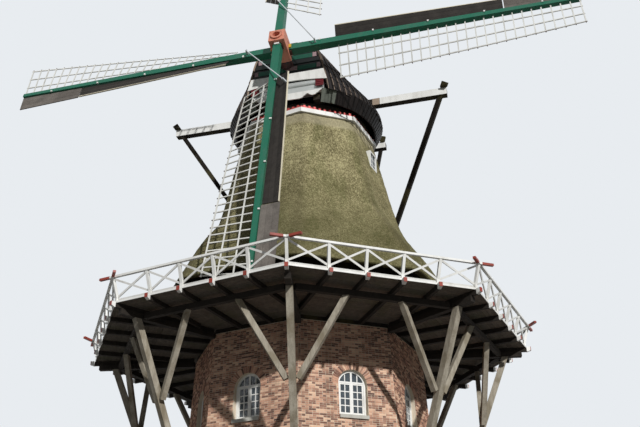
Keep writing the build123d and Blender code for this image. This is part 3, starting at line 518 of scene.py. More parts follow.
@dataclass(frozen=True)
class StudioFloor:
    """Matt floor that the camera and reflections see pale, and that throws little light back up."""

    name: str = "studio_floor"
    seen: tuple[float, ...] = rgb(228, 227, 224)
    given: tuple[float, ...] = rgb(120, 120, 118)
    glow: float = 0.36

    def make(self) -> bpy.types.Material:
        """Build the material.

        Returns:
            The new material.
        """
        s = Shader(self.name)
        pale = s.pale_rays()
        return s.principled({
            "Base Color": s.mix(pale, self.given, self.seen), "Roughness": 0.9,
            "Emission Color": s.mix(pale, rgb(0, 0, 0), self.seen), "Emission Strength": self.glow,
        })


class Finish(Enum):
    """Finishes of the mill's pieces."""

    BRICK = Brick()
    MORTAR = Mortar()
    SILL = Paint("pale_sill_stone", rgb(192, 190, 180), rgb(140, 134, 120), wear=0.1, roughness=0.8)
    REED = Reed()
    STRUT_OAK = Timber("silver_grey_oak", rgb(196, 188, 170), rgb(116, 106, 92), rgb(104, 92, 68))
    # Near-black oak for the gallery's beams and joists: painted shade of the deck's underside.
    BEAM_OAK = Timber("gallery_oak_painted_shade", rgb(60, 54, 48), rgb(28, 25, 22), rgb(24, 22, 20), (1, 1, 1))
    DECK = Timber("deck_planks_oak", rgb(118, 110, 100), rgb(60, 54, 48), rgb(84, 84, 64), (1, 1, 1))
    OLD_OAK = Timber("old_oak", rgb(122, 98, 74), rgb(70, 52, 38), rgb(52, 40, 30))
    TAR = Timber("tarred_wood", rgb(58, 52, 46), rgb(20, 18, 17), rgb(104, 98, 60), (1, 1, 0.15), 0.35)
    CAP_BOARD = Timber("tarred_cap_boards", rgb(52, 46, 44), rgb(20, 18, 19), rgb(84, 70, 60),
                       (1, 1, 0.2), 0.3, 0.62)
    BOARD_EDGE = Timber("worn_board_edges", rgb(168, 148, 130), rgb(96, 82, 72), rgb(60, 52, 48),
                        (1, 1, 0.3), 0.7)
    SKIRT = Timber("glossy_skirt_tar", rgb(38, 33, 31), rgb(11, 10, 10), rgb(26, 23, 22),
                   (1, 1, 0.2), 0.4, 0.4)
    # Grey cheek boards, paler than the tarred skirt: partly grey paint, partly painted sunlight on the
    # skirt's forward part.
    CHEEK = Timber("grey_cheek_boards_with_painted_sun", rgb(118, 122, 112), rgb(72, 76, 70), rgb(60, 62, 56),
                   (1, 1, 0.3), 0.5)
    WINDBOARD = Timber("weathered_windboard", rgb(64, 60, 56), rgb(28, 26, 25), rgb(48, 46, 43),
                       (0.5, 1, 0.5))
    TIP_BOARD = Timber("weathered_tip_board", rgb(126, 119, 112), rgb(66, 62, 58), rgb(84, 79, 74),
                       (0.5, 1, 0.5))
    WHITE = Paint("white_oil_paint", rgb(238, 237, 232), rgb(176, 172, 160), wear=0.2)
    WORN_WHITE = Paint("worn_sail_paint", rgb(222, 221, 214), rgb(146, 142, 132), wear=0.5, dirt_share=0.5)
    CREAM = Paint("cream_edge_paint", rgb(228, 218, 192), rgb(160, 148, 124), wear=0.5, dirt_share=0.4)
    STOCK_GREEN = Paint("stock_green_paint", rgb(16, 98, 74), rgb(62, 100, 84), wear=0.3, dirt_share=0.5)
    GABLE_GREEN = Paint("gable_green_paint", rgb(18, 78, 60), rgb(30, 62, 50), wear=0.2)
    DARK_GREEN = Paint("dark_green_paint", rgb(12, 28, 24), rgb(16, 24, 21), wear=0.15)
    # Near-black gable boards: their own dark green, darkened further as painted shade of the deep shadow on
    # the cap's front.
    GABLE_DARK = Paint("gable_boards_painted_shade", rgb(9, 14, 13), rgb(14, 16, 15), wear=0.1)
    RED = Paint("red_paint", rgb(180, 36, 40), rgb(104, 34, 32), wear=0.3)
    SLAT_RED = Paint("dark_red_paint", rgb(110, 20, 28), rgb(58, 18, 22), wear=0.2)
    RAIL_RED = Paint("red_brown_paint", rgb(150, 62, 48), rgb(88, 44, 38), wear=0.3)
    GREY = Paint("grey_paint", rgb(134, 139, 135), rgb(92, 95, 92), wear=0.3)
    BLOCK = Paint("grey_pink_paint", rgb(158, 132, 134), rgb(112, 92, 94), wear=0.3)
    YELLOW = Paint("yellow_paint", rgb(214, 178, 66), rgb(120, 96, 44), wear=0.3)
    IRON = Paint("rust_brown_iron", rgb(70, 40, 32), rgb(44, 30, 26), wear=0.4, roughness=0.55)
    ROD = Paint("bare_steel_rod", rgb(214, 218, 220), rgb(150, 152, 150), wear=0.1, roughness=0.35)
    POLL = CastPaint()
    GLASS = Glass()
    FLOOR = StudioFloor()

    def material(self) -> bpy.types.Material:
        """The finish's material, made the first time that it is asked for."""
        return bpy.data.materials.get(self.value.name) or self.value.make()


def dress(finish: Finish, *nodes: str) -> None:
    """Give construction nodes a finish.

    Args:
        finish: The finish.
        *nodes: Names of the nodes, whose own meshes take it.
    """
    material = finish.material()
    for node in nodes:
        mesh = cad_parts[node].data
        mesh.materials.clear()
        mesh.materials.append(material)
        log.info("dressed %s in %s", node, material.name)


@dataclass
class Piece:
    """A mesh gathered from many small solids, with a random tone for each of them."""

    name: str
    corners: list[Vector] = field(default_factory=list)
    faces: list[tuple[int, ...]] = field(default_factory=list)
    tones: list[float] = field(default_factory=list)

    def __post_init__(self) -> None:
        """Start the piece's own random numbers, which follow from its name."""
        self.random = random.Random(f"{self.name}0")

    def add(self, corners: Iterable[Vector], faces: Iterable[Sequence[int]]) -> None:
        """Add one solid from its corners and faces.

        Args:
            corners: Its corners.
            faces: Corner numbers of each face, counted from 0 within the solid.
        """
        start = len(self.corners)
        tone = self.random.random()
        self.corners.extend(corners)
        for face in faces:
            self.faces.append(tuple(start + index for index in face))
            self.tones.append(tone)

    def loft(self, rings: Sequence[Sequence[Vector]]) -> None:
        """Add a closed solid through outlines with as many points each.

        Args:
            rings: The outlines, from one end of the solid to the other.
        """
        count, last = len(rings[0]), (len(rings) - 1) * len(rings[0])
        skin = [(row + i, row + (i + 1) % count, row + count + (i + 1) % count, row + count + i)
                for row in range(0, last, count) for i in range(count)]
        lids = [tuple(reversed(range(count))), tuple(range(last, last + count))]
        self.add([corner for ring in rings for corner in ring], skin + lids)

    def prism(self, low: Sequence[Vector], high: Sequence[Vector]) -> None:
        """Add a closed solid between two outlines with as many points."""
        self.loft([low, high])

    def bar(self, start: Vector, end: Vector, width: float, depth: float,
            facing: Vector = Vector((0, 0, 1))) -> None:
        """Add a squared bar between two points.

        Args:
            start: Middle of its first end.
            end: Middle of its other end.
            width: Size across both its run and facing.
            depth: Size towards facing.
            facing: Direction that one of its faces turns to.
        """
        run = (end - start).normalized()
        across = run.cross(facing).normalized()
        up = across.cross(run)
        ring = [across * (a * width / 2) + up * (b * depth / 2) for a, b in SQUARE]
        self.prism([start + offset for offset in ring], [end + offset for offset in ring])

    def make(self, body: str, finish: Finish | bpy.types.Material, slot: str, *replaced: str,
             smooth: bool = False) -> bpy.types.Object:
        """Make the object and hang it on a body.

        Args:
            body: Body that the piece rides on.
            finish: Its finish, or a ready material.
            slot: Name of a material slot; not used.
            *replaced: Construction nodes that it stands for.
            smooth: Whether its faces are shaded smooth.

        Returns:
            The new object.
        """
        mesh = bpy.data.meshes.new(self.name)
        mesh.from_pydata([tuple(corner) for corner in self.corners], [], self.faces)
        store = mesh.attributes.new("tone", "FLOAT", "FACE")
        store.data.foreach_set("value", self.tones)
        tidy = bmesh.new()
        tidy.from_mesh(mesh)
        bmesh.ops.recalc_face_normals(tidy, faces=tidy.faces)
        tidy.to_mesh(mesh)
        tidy.free()
        mesh.polygons.foreach_set("use_smooth", [smooth] * len(mesh.polygons))
        mesh.materials.append(finish.material() if isinstance(finish, Finish) else finish)
        made = bpy.data.objects.new(self.name, mesh)
        bpy.context.scene.collection.objects.link(made)
        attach(made, body)
        if replaced:
            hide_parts(*replaced)
        log.info("made %s: %d faces on %s", self.name, len(self.faces), body)
        return made


@dataclass
class Studio:
    """Camera at the photographer's place, soft light and a pale floor."""

    distance: float = 30.056
    turn: float = 4.25
    eye: float = 1.557
    pitch: float = 28.26
    yaw: float = 1.0
    roll: float = -0.84
    focal_px: float = 842.6
    image_width_px: int = 640
    sensor: float = 36.0
    far: float = 500.0
    suns: tuple[tuple[str, float, float, float, float], ...] = (
        ("key", 26, 25, 3.2, 1.5), ("fill", -40, 20, 0.08, 30),
    )
    sky: tuple[float, ...] = (0.86, 0.92, 1.0, 1.0)
    sky_power: float = 0.14
    backdrop: tuple[float, ...] = rgb(232, 236, 240)
    floor_reach: float = 220.0
    floor_drop: float = 0.002

    def camera(self) -> None:
        """Set the camera."""
        pitch, yaw, roll = (math.radians(angle) for angle in (self.pitch, self.yaw, self.roll))
        ahead = Vector((math.sin(yaw) * math.cos(pitch), math.cos(yaw) * math.cos(pitch), math.sin(pitch)))
        right = Vector((math.cos(yaw), -math.sin(yaw), 0))
        up = right.cross(ahead)
        rolled_right = right * math.cos(roll) + up * math.sin(roll)
        rolled_up = up * math.cos(roll) - right * math.sin(roll)
        about = Matrix.Rotation(math.radians(self.turn), 3, "Z")
        axes = Matrix((about @ rolled_right, about @ rolled_up, about @ -ahead)).transposed()
        data = bpy.data.cameras.new("photo_camera")
        data.sensor_width = self.sensor
        data.sensor_fit = "HORIZONTAL"
        data.lens = self.focal_px / self.image_width_px * self.sensor
        data.clip_end = self.far
        camera = bpy.data.objects.new("photo_camera", data)
        place = direction(self.turn) * self.distance + Vector((0, 0, self.eye))
        camera.matrix_world = Matrix.Translation(place) @ axes.to_4x4()
        bpy.context.scene.collection.objects.link(camera)
        bpy.context.scene.camera = camera

    def lights(self) -> None:
        """Add a low key light from behind the camera and a weak fill: name, turn, height, power, spread."""
        for name, turn, height, power, spread in self.suns:
            data = bpy.data.lights.new(name, "SUN")
            data.energy = power
            data.angle = math.radians(spread)
            lamp = bpy.data.objects.new(name, data)
            rise = math.radians(height)
            towards = direction(turn) * math.cos(rise) + Vector((0, 0, math.sin(rise)))
            lamp.rotation_euler = towards.to_track_quat("Z", "Y").to_euler()
            bpy.context.scene.collection.objects.link(lamp)

    def surroundings(self) -> None:
        """Add an even sky, which the camera and reflections see pale."""
        world = bpy.data.worlds.new("studio")
        world.use_nodes = True
        graph = Graph(world.node_tree)
        sky = graph.node("ShaderNodeBackground", {}, {"Color": self.sky, "Strength": self.sky_power})
        backdrop = graph.node("ShaderNodeBackground", {}, {"Color": self.backdrop})
        mixed = graph.node("ShaderNodeMixShader", {}, {0: graph.pale_rays(), 1: sky, 2: backdrop})
        output = graph.tree.nodes.new("ShaderNodeOutputWorld")
        graph.put(output.inputs["Surface"], mixed)
        bpy.context.scene.world = world

    def floor(self) -> None:
        """Lay the pale floor."""
        mesh = bpy.data.meshes.new("floor")
        corners = [(x * self.floor_reach, y * self.floor_reach, 0) for x, y in SQUARE]
        mesh.from_pydata(corners, [], [(0, 1, 2, 3)])
        mesh.materials.append(Finish.FLOOR.material())
        floor = bpy.data.objects.new("floor", mesh)
        floor.location.z = -self.floor_drop
        bpy.context.scene.collection.objects.link(floor)

    def build(self) -> None:
        """Set up the whole studio."""
        bpy.context.scene.view_settings.view_transform = "Standard"
        self.camera()
        self.lights()
        self.surroundings()
        self.floor()


@dataclass(frozen=True)
class WallFrame:
    """Local frame on a wall: x to the left of outward, y up, z outward."""

    turn: float
    foot: float
    face: float
    shift: float = 0.0

    def at(self, x: float, y: float, z: float = 0.0) -> Vector:
        """Point of the frame in the part's own frame."""
        return direction(self.turn) * (self.face + z) + direction(self.turn + 90) * (self.shift + x) \
            + Vector((0, 0, self.foot + y))


@dataclass
class BrickBase:
    """Octagonal brick base with arched windows and two doors."""

    storeys: int = 3
    storey: float = 3.8
    foot_radius: float = 4.75
    top_radius: float = 4.175
    height: float = 11.6
    window_width: float = 0.98
    window_height: float = 1.5
    sill_height: float = 0.9
    sill_thickness: float = 0.11
    shift: float = 0.2
    recess: float = 0.11
    frame_width: float = 0.07
    frame_depth: float = 0.09
    door_sides: tuple[int, int] = (3, 7)
    door_width: float = 2.3
    door_height: float = 2.7
    door_rise: float = 0.35
    door_recess: float = 0.285
    course: float = 0.0658
    brick_length: float = 0.235
    least_brick: float = 0.035
    joint: float = 0.014
    proud: float = 0.008
    bedding: float = 0.004
    face_play: float = 0.002
    edge_play: float = 0.0015
    arch_brick: float = 0.23
    arch_proud: float = 0.012
    arch_bedding: float = 0.03
    arch_gap: float = 0.004
    arch_joint: float = 0.1
    window_voussoirs: int = 27
    door_voussoirs: int = 37
    stile: float = 0.055
    stile_depth: float = 0.05
    meeting_stiles: float = 0.12
    meeting_depth: float = 0.06
    mullion: float = 0.06
    mullion_depth: float = 0.068
    rail_depth: float = 0.048
    top_rail_share: float = 0.8
    glazing_bar: float = 0.032
    glazing_depth: float = 0.036
    cross_bar_share: float = 0.94
    transom_rise: float = 0.09
    transom_height: float = 0.055
    transom_depth: float = 0.07
    tenon: float = 0.01
    pane_rows: int = 4
    door_planks: int = 14
    door_plank_gap: float = 0.008
    door_plank_thickness: float = 0.03
    door_frame: float = 0.12
    door_head_gap: float = 0.16
    door_foot_gap: float = 0.02
    strap_levels: tuple[float, ...] = (0.5, 1.35, 2.2)
    strap_reach: float = 0.2
    strap_lift: float = 0.02
    strap_size: tuple[float, float] = (0.06, 0.014)

    def radius(self, height: float) -> float:
        """Corner radius of the battered wall at a height."""
        return self.foot_radius + (self.top_radius - self.foot_radius) * height / self.height

    def windows(self) -> Iterable[tuple[int, float, float]]:
        """Side, level of the sill's top and shift along the wall of each window.

        Returns:
            The three values of each window in turn.
        """
        for storey in range(self.storeys):
            for side in range(SIDES):
                shift = self.shift if side % 2 == 0 else -self.shift
                if storey > 0 or side not in self.door_sides:
                    yield side, storey * self.storey + self.sill_height, shift

    def door_arch(self) -> tuple[float, float]:
        """Radius of the doors' flat arch, and the level of its centre."""
        radius = ((self.door_width / 2) ** 2 + self.door_rise ** 2) / (2 * self.door_rise)
        return radius, self.door_height + self.door_rise - radius

    def window_half(self, foot: float, level: float) -> float:
        """Half the width that a window, its sill and its arch take out of the brickwork at a level.

        Args:
            foot: Level of the sill's top.
            level: Level of the brickwork.

        Returns:
            The half width, 0 beside the window.
        """
        radius = self.window_width / 2
        rise = level - (foot + self.window_height - radius)
        reach = radius + self.arch_brick + self.joint
        if level < foot - self.sill_thickness or rise > reach:
            return 0.0
        return radius if rise < 0 else math.sqrt(reach ** 2 - rise ** 2)

    def door_half(self, level: float) -> float:
        """Half the width that a door and its arch take out of the brickwork at a level.

        Args:
            level: Level of the brickwork.

        Returns:
            The half width, 0 above the arch.
        """
        radius, centre = self.door_arch()
        reach = radius + self.arch_brick + self.joint
        if level > centre + reach:
            return 0.0
        spread = max(0.0, level - self.door_height) / (self.door_height - centre)
        skewback = self.door_width / 2 * (1 + spread)
        return min(skewback, math.sqrt(max(0.0, reach ** 2 - (level - centre) ** 2)))

    def blocked(self, side: int, low: float, high: float) -> Iterable[tuple[float, float]]:
        """Stretches of a course that openings, arches and sills take, measured along the wall.

        Args:
            side: Side of the octagon.
            low: Level of the course's bed.
            high: Level of its top.

        Returns:
            Left and right end of each stretch.
        """
        for window_side, foot, shift in self.windows():
            half = min(self.window_half(foot, low), self.window_half(foot, high))
            if window_side == side and half > 0:
                yield shift - half, shift + half
        half = min(self.door_half(low), self.door_half(high))
        if side in self.door_sides and half > 0:
            yield -half, half

    def lay_course(self, piece: Piece, side: int, row: int) -> None:
        """Lay one course: headers and stretchers in turn, and every second stretcher course shifted.

        Args:
            piece: Piece that gathers the bricks.
            side: Side of the octagon.
            row: Number of the course.
        """
        low, high = row * self.course + self.joint / 2, (row + 1) * self.course - self.joint / 2
        half = self.radius(high) * math.sin(HALF_SIDE) - self.joint / 2
        spans = [(-half, half)]
        for left, right in self.blocked(side, low, high):
            cut = [part for start, end in spans
                   for part in ((start, min(end, left)), (max(start, right), end))]
            spans = [(start, end) for start, end in cut if end - start > self.least_brick]
        unit = self.brick_length / 2 if row % 2 else self.brick_length
        phase = unit / 2 if row % 4 == 2 else 0.0
        frames = [WallFrame(side_middle(side), 0, apothem(self.radius(level))) for level in (low, high)]
        for start, end in spans:
            for number in range(math.floor((start - phase) / unit), math.ceil((end - phase) / unit)):
                left = max(start, phase + number * unit)
                right = min(end, phase + (number + 1) * unit - self.joint)
                if right - left > self.least_brick:
                    self.lay_brick(piece, frames, (left, right), (low, high))

    def lay_brick(self, piece: Piece, frames: Sequence[WallFrame], ends: tuple[float, float],
                  levels: tuple[float, float]) -> None:
        """Lay one brick, a little uneven as a hand-made one is.

        Args:
            piece: Piece that gathers the bricks.
            frames: Wall frames at the brick's bed and top.
            ends: Its left and right end.
            levels: Level of its bed and top.
        """
        layers = []
        for back in (True, False):
            layer = []
            for x, high in ((ends[0], 0), (ends[1], 0), (ends[1], 1), (ends[0], 1)):
                play = 0.0 if back else piece.random.uniform(-self.face_play, self.face_play)
                depth = -self.bedding if back else self.proud + play
                loose = piece.random.uniform(-self.edge_play, self.edge_play)
                layer.append(frames[high].at(x + loose, levels[high] + loose, depth))
            layers.append(layer)
        piece.prism(layers[0], layers[1])

    def brickwork(self) -> None:
        """Lay the courses of all walls."""
        for side in range(SIDES):
            piece = Piece(f"brick_courses_{side}")
            for row in range(int(self.height / self.course)):
                self.lay_course(piece, side, row)
            piece.make("tower", Finish.BRICK, "brick")

    def joinery(self) -> None:
        """Make the casements and glazing bars of the windows."""
        piece = Piece("window_casements")
        for side, foot, shift in self.windows():
            face = apothem(self.radius(foot + self.window_height)) - self.recess - self.frame_depth / 2
            wall = WallFrame(side_middle(side), foot, face, shift)
            self.casements(piece, wall)
        piece.make("tower", Finish.WHITE, "white_paint")

    def casements(self, piece: Piece, wall: WallFrame) -> None:
        """Add one window's two casements, transom and arched top light.

        Args:
            piece: Piece that gathers the joinery.
            wall: Frame at the window's foot, in its plane.
        """
        clear = self.window_width / 2 - self.frame_width
        low = self.frame_width
        spring = self.window_height - self.window_width / 2
        transom = spring + self.transom_rise
        outward = direction(wall.turn)
        panes_low = low + self.stile
        panes_high = transom - self.transom_height / 2 - self.stile * self.top_rail_share
        middle = (self.meeting_stiles / 2 + clear - self.stile) / 2
        crown = clear + self.tenon
        piece.bar(wall.at(-clear, transom), wall.at(clear, transom), self.transom_height,
                  self.transom_depth, outward)
        piece.bar(wall.at(0, low), wall.at(0, transom), self.meeting_stiles, self.meeting_depth, outward)
        piece.bar(wall.at(0, low), wall.at(0, spring + crown), self.mullion, self.mullion_depth, outward)
        for hand in (-1, 1):
            edge = hand * (clear - self.stile / 2)
            piece.bar(wall.at(edge, low), wall.at(edge, transom), self.stile, self.stile_depth, outward)
            near, far = hand * self.mullion / 2, hand * clear
            for start, end in ((low, panes_low), (panes_high, transom)):
                y = (start + end) / 2
                piece.bar(wall.at(near, y), wall.at(far, y), end - start, self.rail_depth, outward)
            head = spring + math.sqrt(crown ** 2 - middle ** 2)
            piece.bar(wall.at(hand * middle, low), wall.at(hand * middle, head), self.glazing_bar,
                      self.glazing_depth, outward)
            for row in range(1, self.pane_rows):
                y = panes_low + (panes_high - panes_low) * row / self.pane_rows
                piece.bar(wall.at(near, y), wall.at(far, y), self.glazing_bar,
                          self.glazing_depth * self.cross_bar_share, outward)

    def arches(self) -> None:
        """Lay the soldier arches over windows and doors."""
        piece = Piece("soldier_arches")
        radius = self.window_width / 2
        for side, foot, shift in self.windows():
            centre = foot + self.window_height - radius
            self.voussoirs(piece, side, centre, shift, radius, 180.0, self.window_voussoirs)
        radius, centre = self.door_arch()
        sweep = 2 * math.degrees(math.asin(self.door_width / 2 / radius))
        for side in self.door_sides:
            self.voussoirs(piece, side, centre, 0.0, radius, sweep, self.door_voussoirs)
        piece.make("tower", Finish.BRICK, "brick")

    def voussoirs(self, piece: Piece, side: int, centre: float, shift: float, radius: float,
                  sweep: float, count: int) -> None:
        """Add one arch of bricks on end.

        Args:
            piece: Piece that gathers the bricks.
            side: Side of the octagon.
            centre: Level of the arch's centre.
            shift: The centre's distance along the wall from the side's middle.
            radius: Radius of the arch's underside.
            sweep: Angle that the arch covers, in degrees.
            count: Number of bricks.
        """
        inner, outer = radius + self.arch_gap, radius + self.arch_brick
        for number in range(count):
            angles = [math.radians(90 + sweep * ((number + edge) / count - 0.5))
                      for edge in (self.arch_joint, 1 - self.arch_joint)]
            ring = [(math.cos(angle) * inner, math.sin(angle) * inner) for angle in angles]
            ring += [(math.cos(angle) * outer, math.sin(angle) * outer) for angle in reversed(angles)]
            layers = []
            for proud in (-self.arch_bedding, self.arch_proud):
                layer = []
                for x, y in ring:
                    wall = WallFrame(side_middle(side), 0, apothem(self.radius(centre + y)), shift)
                    layer.append(wall.at(x, centre + y, proud))
                layers.append(layer)
            piece.prism(layers[0], layers[1])

    def door_boards(self) -> None:
        """Board the doors' leaves and hang them on long straps."""
        boards, straps = Piece("door_boards"), Piece("door_straps")
        clear = self.door_width / 2 - self.door_frame
        pitch, rise = clear * 2 / self.door_planks, self.door_rise - self.door_foot_gap
        for side in self.door_sides:
            face = apothem(self.radius(self.door_height + self.door_rise)) - self.door_recess
            wall = WallFrame(side_middle(side), 0, face)
            outward = direction(wall.turn)
            for number in range(self.door_planks):
                x = (number + 0.5) * pitch - clear
                top = self.door_height - self.door_head_gap + rise * (1 - (x / clear) ** 2)
                boards.bar(wall.at(x, self.door_foot_gap), wall.at(x, top), pitch - self.door_plank_gap,
                           self.door_plank_thickness, outward)
            for hand in (-1, 1):
                for level in self.strap_levels:
                    start = wall.at(hand * clear, level, self.strap_lift)
                    end = wall.at(hand * self.strap_reach, level, self.strap_lift)
                    straps.bar(start, end, *self.strap_size, outward)
        boards.make("tower", Finish.DARK_GREEN, "green_paint")
        straps.make("tower", Finish.IRON, "tarred_boards")

    def build(self) -> None:
        """Dress the walls and make the fine work."""
        dress(Finish.MORTAR, *(f"base_wall_{side}" for side in range(SIDES)))
        dress(Finish.SILL, "window_sills")
        dress(Finish.OLD_OAK, "floors")
        dress(Finish.WHITE, "window_frames", "door_frames")
        dress(Finish.DARK_GREEN, "door_leaves")
        dress(Finish.GLASS, "window_glass")
        self.brickwork()
        self.joinery()
        self.arches()
        self.door_boards()


@dataclass
class Gallery:
    """Timber gallery with its struts and railing."""

    deck: float = 11.8
    thickness: float = 0.05
    inner: float = 3.8345
    edge_radius: float = 8.01
    plank: float = 0.158
    plank_gap: float = 0.008
    plank_play: float = 0.004
    last_plank: float = 0.02
    mitre_gap: float = 0.006
    edge_board: float = 0.014
    edge_lift: float = 0.008
    edge_cover: float = 0.012
    rail_top: float = 12.61
    rail_radius: float = 8.2
    foot_radius: float = 7.926
    rail_depth: float = 0.07
    overhang: float = 0.5
    sleeve_start: float = 0.1
    sleeve_cover: float = 0.002
    sleeve_size: tuple[float, float] = (0.094, 0.076)
    bays: int = 5
    end_bay: float = 1.084
    foot_lifts: tuple[float, float] = (0.046, 0.088)
    foot_halves: tuple[float, float] = (0.055, 0.052)
    foot_low: float = 0.004
    foot_highs: tuple[float, float] = (0.17, 0.15)
    shoe_half: float = 0.056
    shoe_profile: tuple[tuple[float, float], ...] = (
        (0.012, -0.002), (0.012, -0.155), (0.05, -0.155), (0.15, -0.11), (0.15, 0.02), (0.03, 0.02),
    )
    plate_levels: tuple[float, float] = (-0.114, 0.024)
    plate_lifts: tuple[float, float] = (0.151, 0.172)

    def planks(self) -> None:
        """Lay the deck's planks along each side."""
        piece = Piece("deck_planks")
        reach = math.tan(HALF_SIDE)
        outer = apothem(self.edge_radius)
        for side in range(SIDES):
            out, across = direction(side_middle(side)), direction(side_middle(side) + 90)
            start = self.inner
            while start < outer - self.last_plank:
                end = min(start + self.plank, outer)
                drop = piece.random.uniform(0, self.plank_play)
                stop = end - self.plank_gap
                ring = [out * radius + across * hand * (radius * reach - self.mitre_gap)
                        for radius, hand in ((start, -1), (stop, -1), (stop, 1), (start, 1))]
                low = [p + Vector((0, 0, self.deck - self.thickness)) for p in ring]
                high = [p + Vector((0, 0, self.deck - drop)) for p in ring]
                piece.prism(low, high)
                start = end
        piece.make("tower", Finish.DECK, "weathered_oak", "gallery_deck")
        edge = Piece("deck_edge_boards")
        half = outer * reach
        for side in range(SIDES):
            wall = WallFrame(side_middle(side), self.deck - self.thickness / 2, outer + self.edge_lift)
            edge.bar(wall.at(-half, 0), wall.at(half, 0), self.edge_board, self.thickness + self.edge_cover)
        edge.make("tower", Finish.WHITE, "white_paint")

    def rail_ends(self) -> None:
        """Sleeve the crossing ends of the hand rails."""
        piece = Piece("rail_end_sleeves")
        half = self.rail_radius * math.sin(HALF_SIDE)
        for side in range(SIDES):
            level = self.rail_top - self.rail_depth / 2
            wall = WallFrame(side_middle(side), level, apothem(self.rail_radius))
            for hand in (-1, 1):
                start, end = half + self.sleeve_start, half + self.overhang + self.sleeve_cover
                piece.bar(wall.at(hand * start, 0), wall.at(hand * end, 0), *self.sleeve_size)
        piece.make("tower", Finish.RAIL_RED, "red_paint")

    def steps(self) -> list[float]:
        """Shares of a side at which its posts stand."""
        unit = 1 / (2 * self.end_bay + self.bays - 2)
        return [0.0] + [(self.end_bay + number) * unit for number in range(self.bays - 1)]

    def post_feet(self) -> None:
        """Carry the posts down over the kick boards, and face the joists' white ends with red plates."""
        feet, shoes, ends = Piece("post_feet"), Piece("joist_shoes"), Piece("joist_ends")
        half = self.foot_radius * math.sin(HALF_SIDE)
        for side in range(SIDES):
            for step in self.steps():
                turn = side * SIDE_TURN if step == 0 else side_middle(side)
                face = self.foot_radius if step == 0 else apothem(self.foot_radius)
                edge = self.edge_radius if step == 0 else apothem(self.edge_radius)
                across = 0.0 if step == 0 else (2 * step - 1) * half
                wall = WallFrame(turn, self.deck, face, across)
                feet.loft([[wall.at(x * wide, self.foot_low if y < 0 else high, lift) for x, y in SQUARE]
                           for wide, high, lift in zip(self.foot_halves, self.foot_highs, self.foot_lifts)])
                wall = WallFrame(turn, self.deck - self.thickness, edge, across)
                shoes.loft([[wall.at(x, y, z) for z, y in self.shoe_profile]
                            for x in (-self.shoe_half, self.shoe_half)])
                low, high = self.plate_levels
                ring = [(x * self.shoe_half, low if y < 0 else high) for x, y in SQUARE]
                ends.loft([[wall.at(x, y, z) for x, y in ring] for z in self.plate_lifts])
        feet.make("tower", Finish.WHITE, "white_paint")
        shoes.make("tower", Finish.WHITE, "white_paint")
        ends.make("tower", Finish.RAIL_RED, "red_paint")

    def build(self) -> None:
        """Dress the timbers, lay the planks and add the small parts of the railing."""
        # The beams and joists under the deck take near-black oak, which is painted shade.
        dress(Finish.BEAM_OAK, "gallery_beams", "gallery_joists")
        dress(Finish.STRUT_OAK, "gallery_struts")
        dress(Finish.WHITE, "gallery_posts", "gallery_rails", "gallery_cross_braces", "gallery_kick_boards")
        self.planks()
        self.rail_ends()
        self.post_feet()


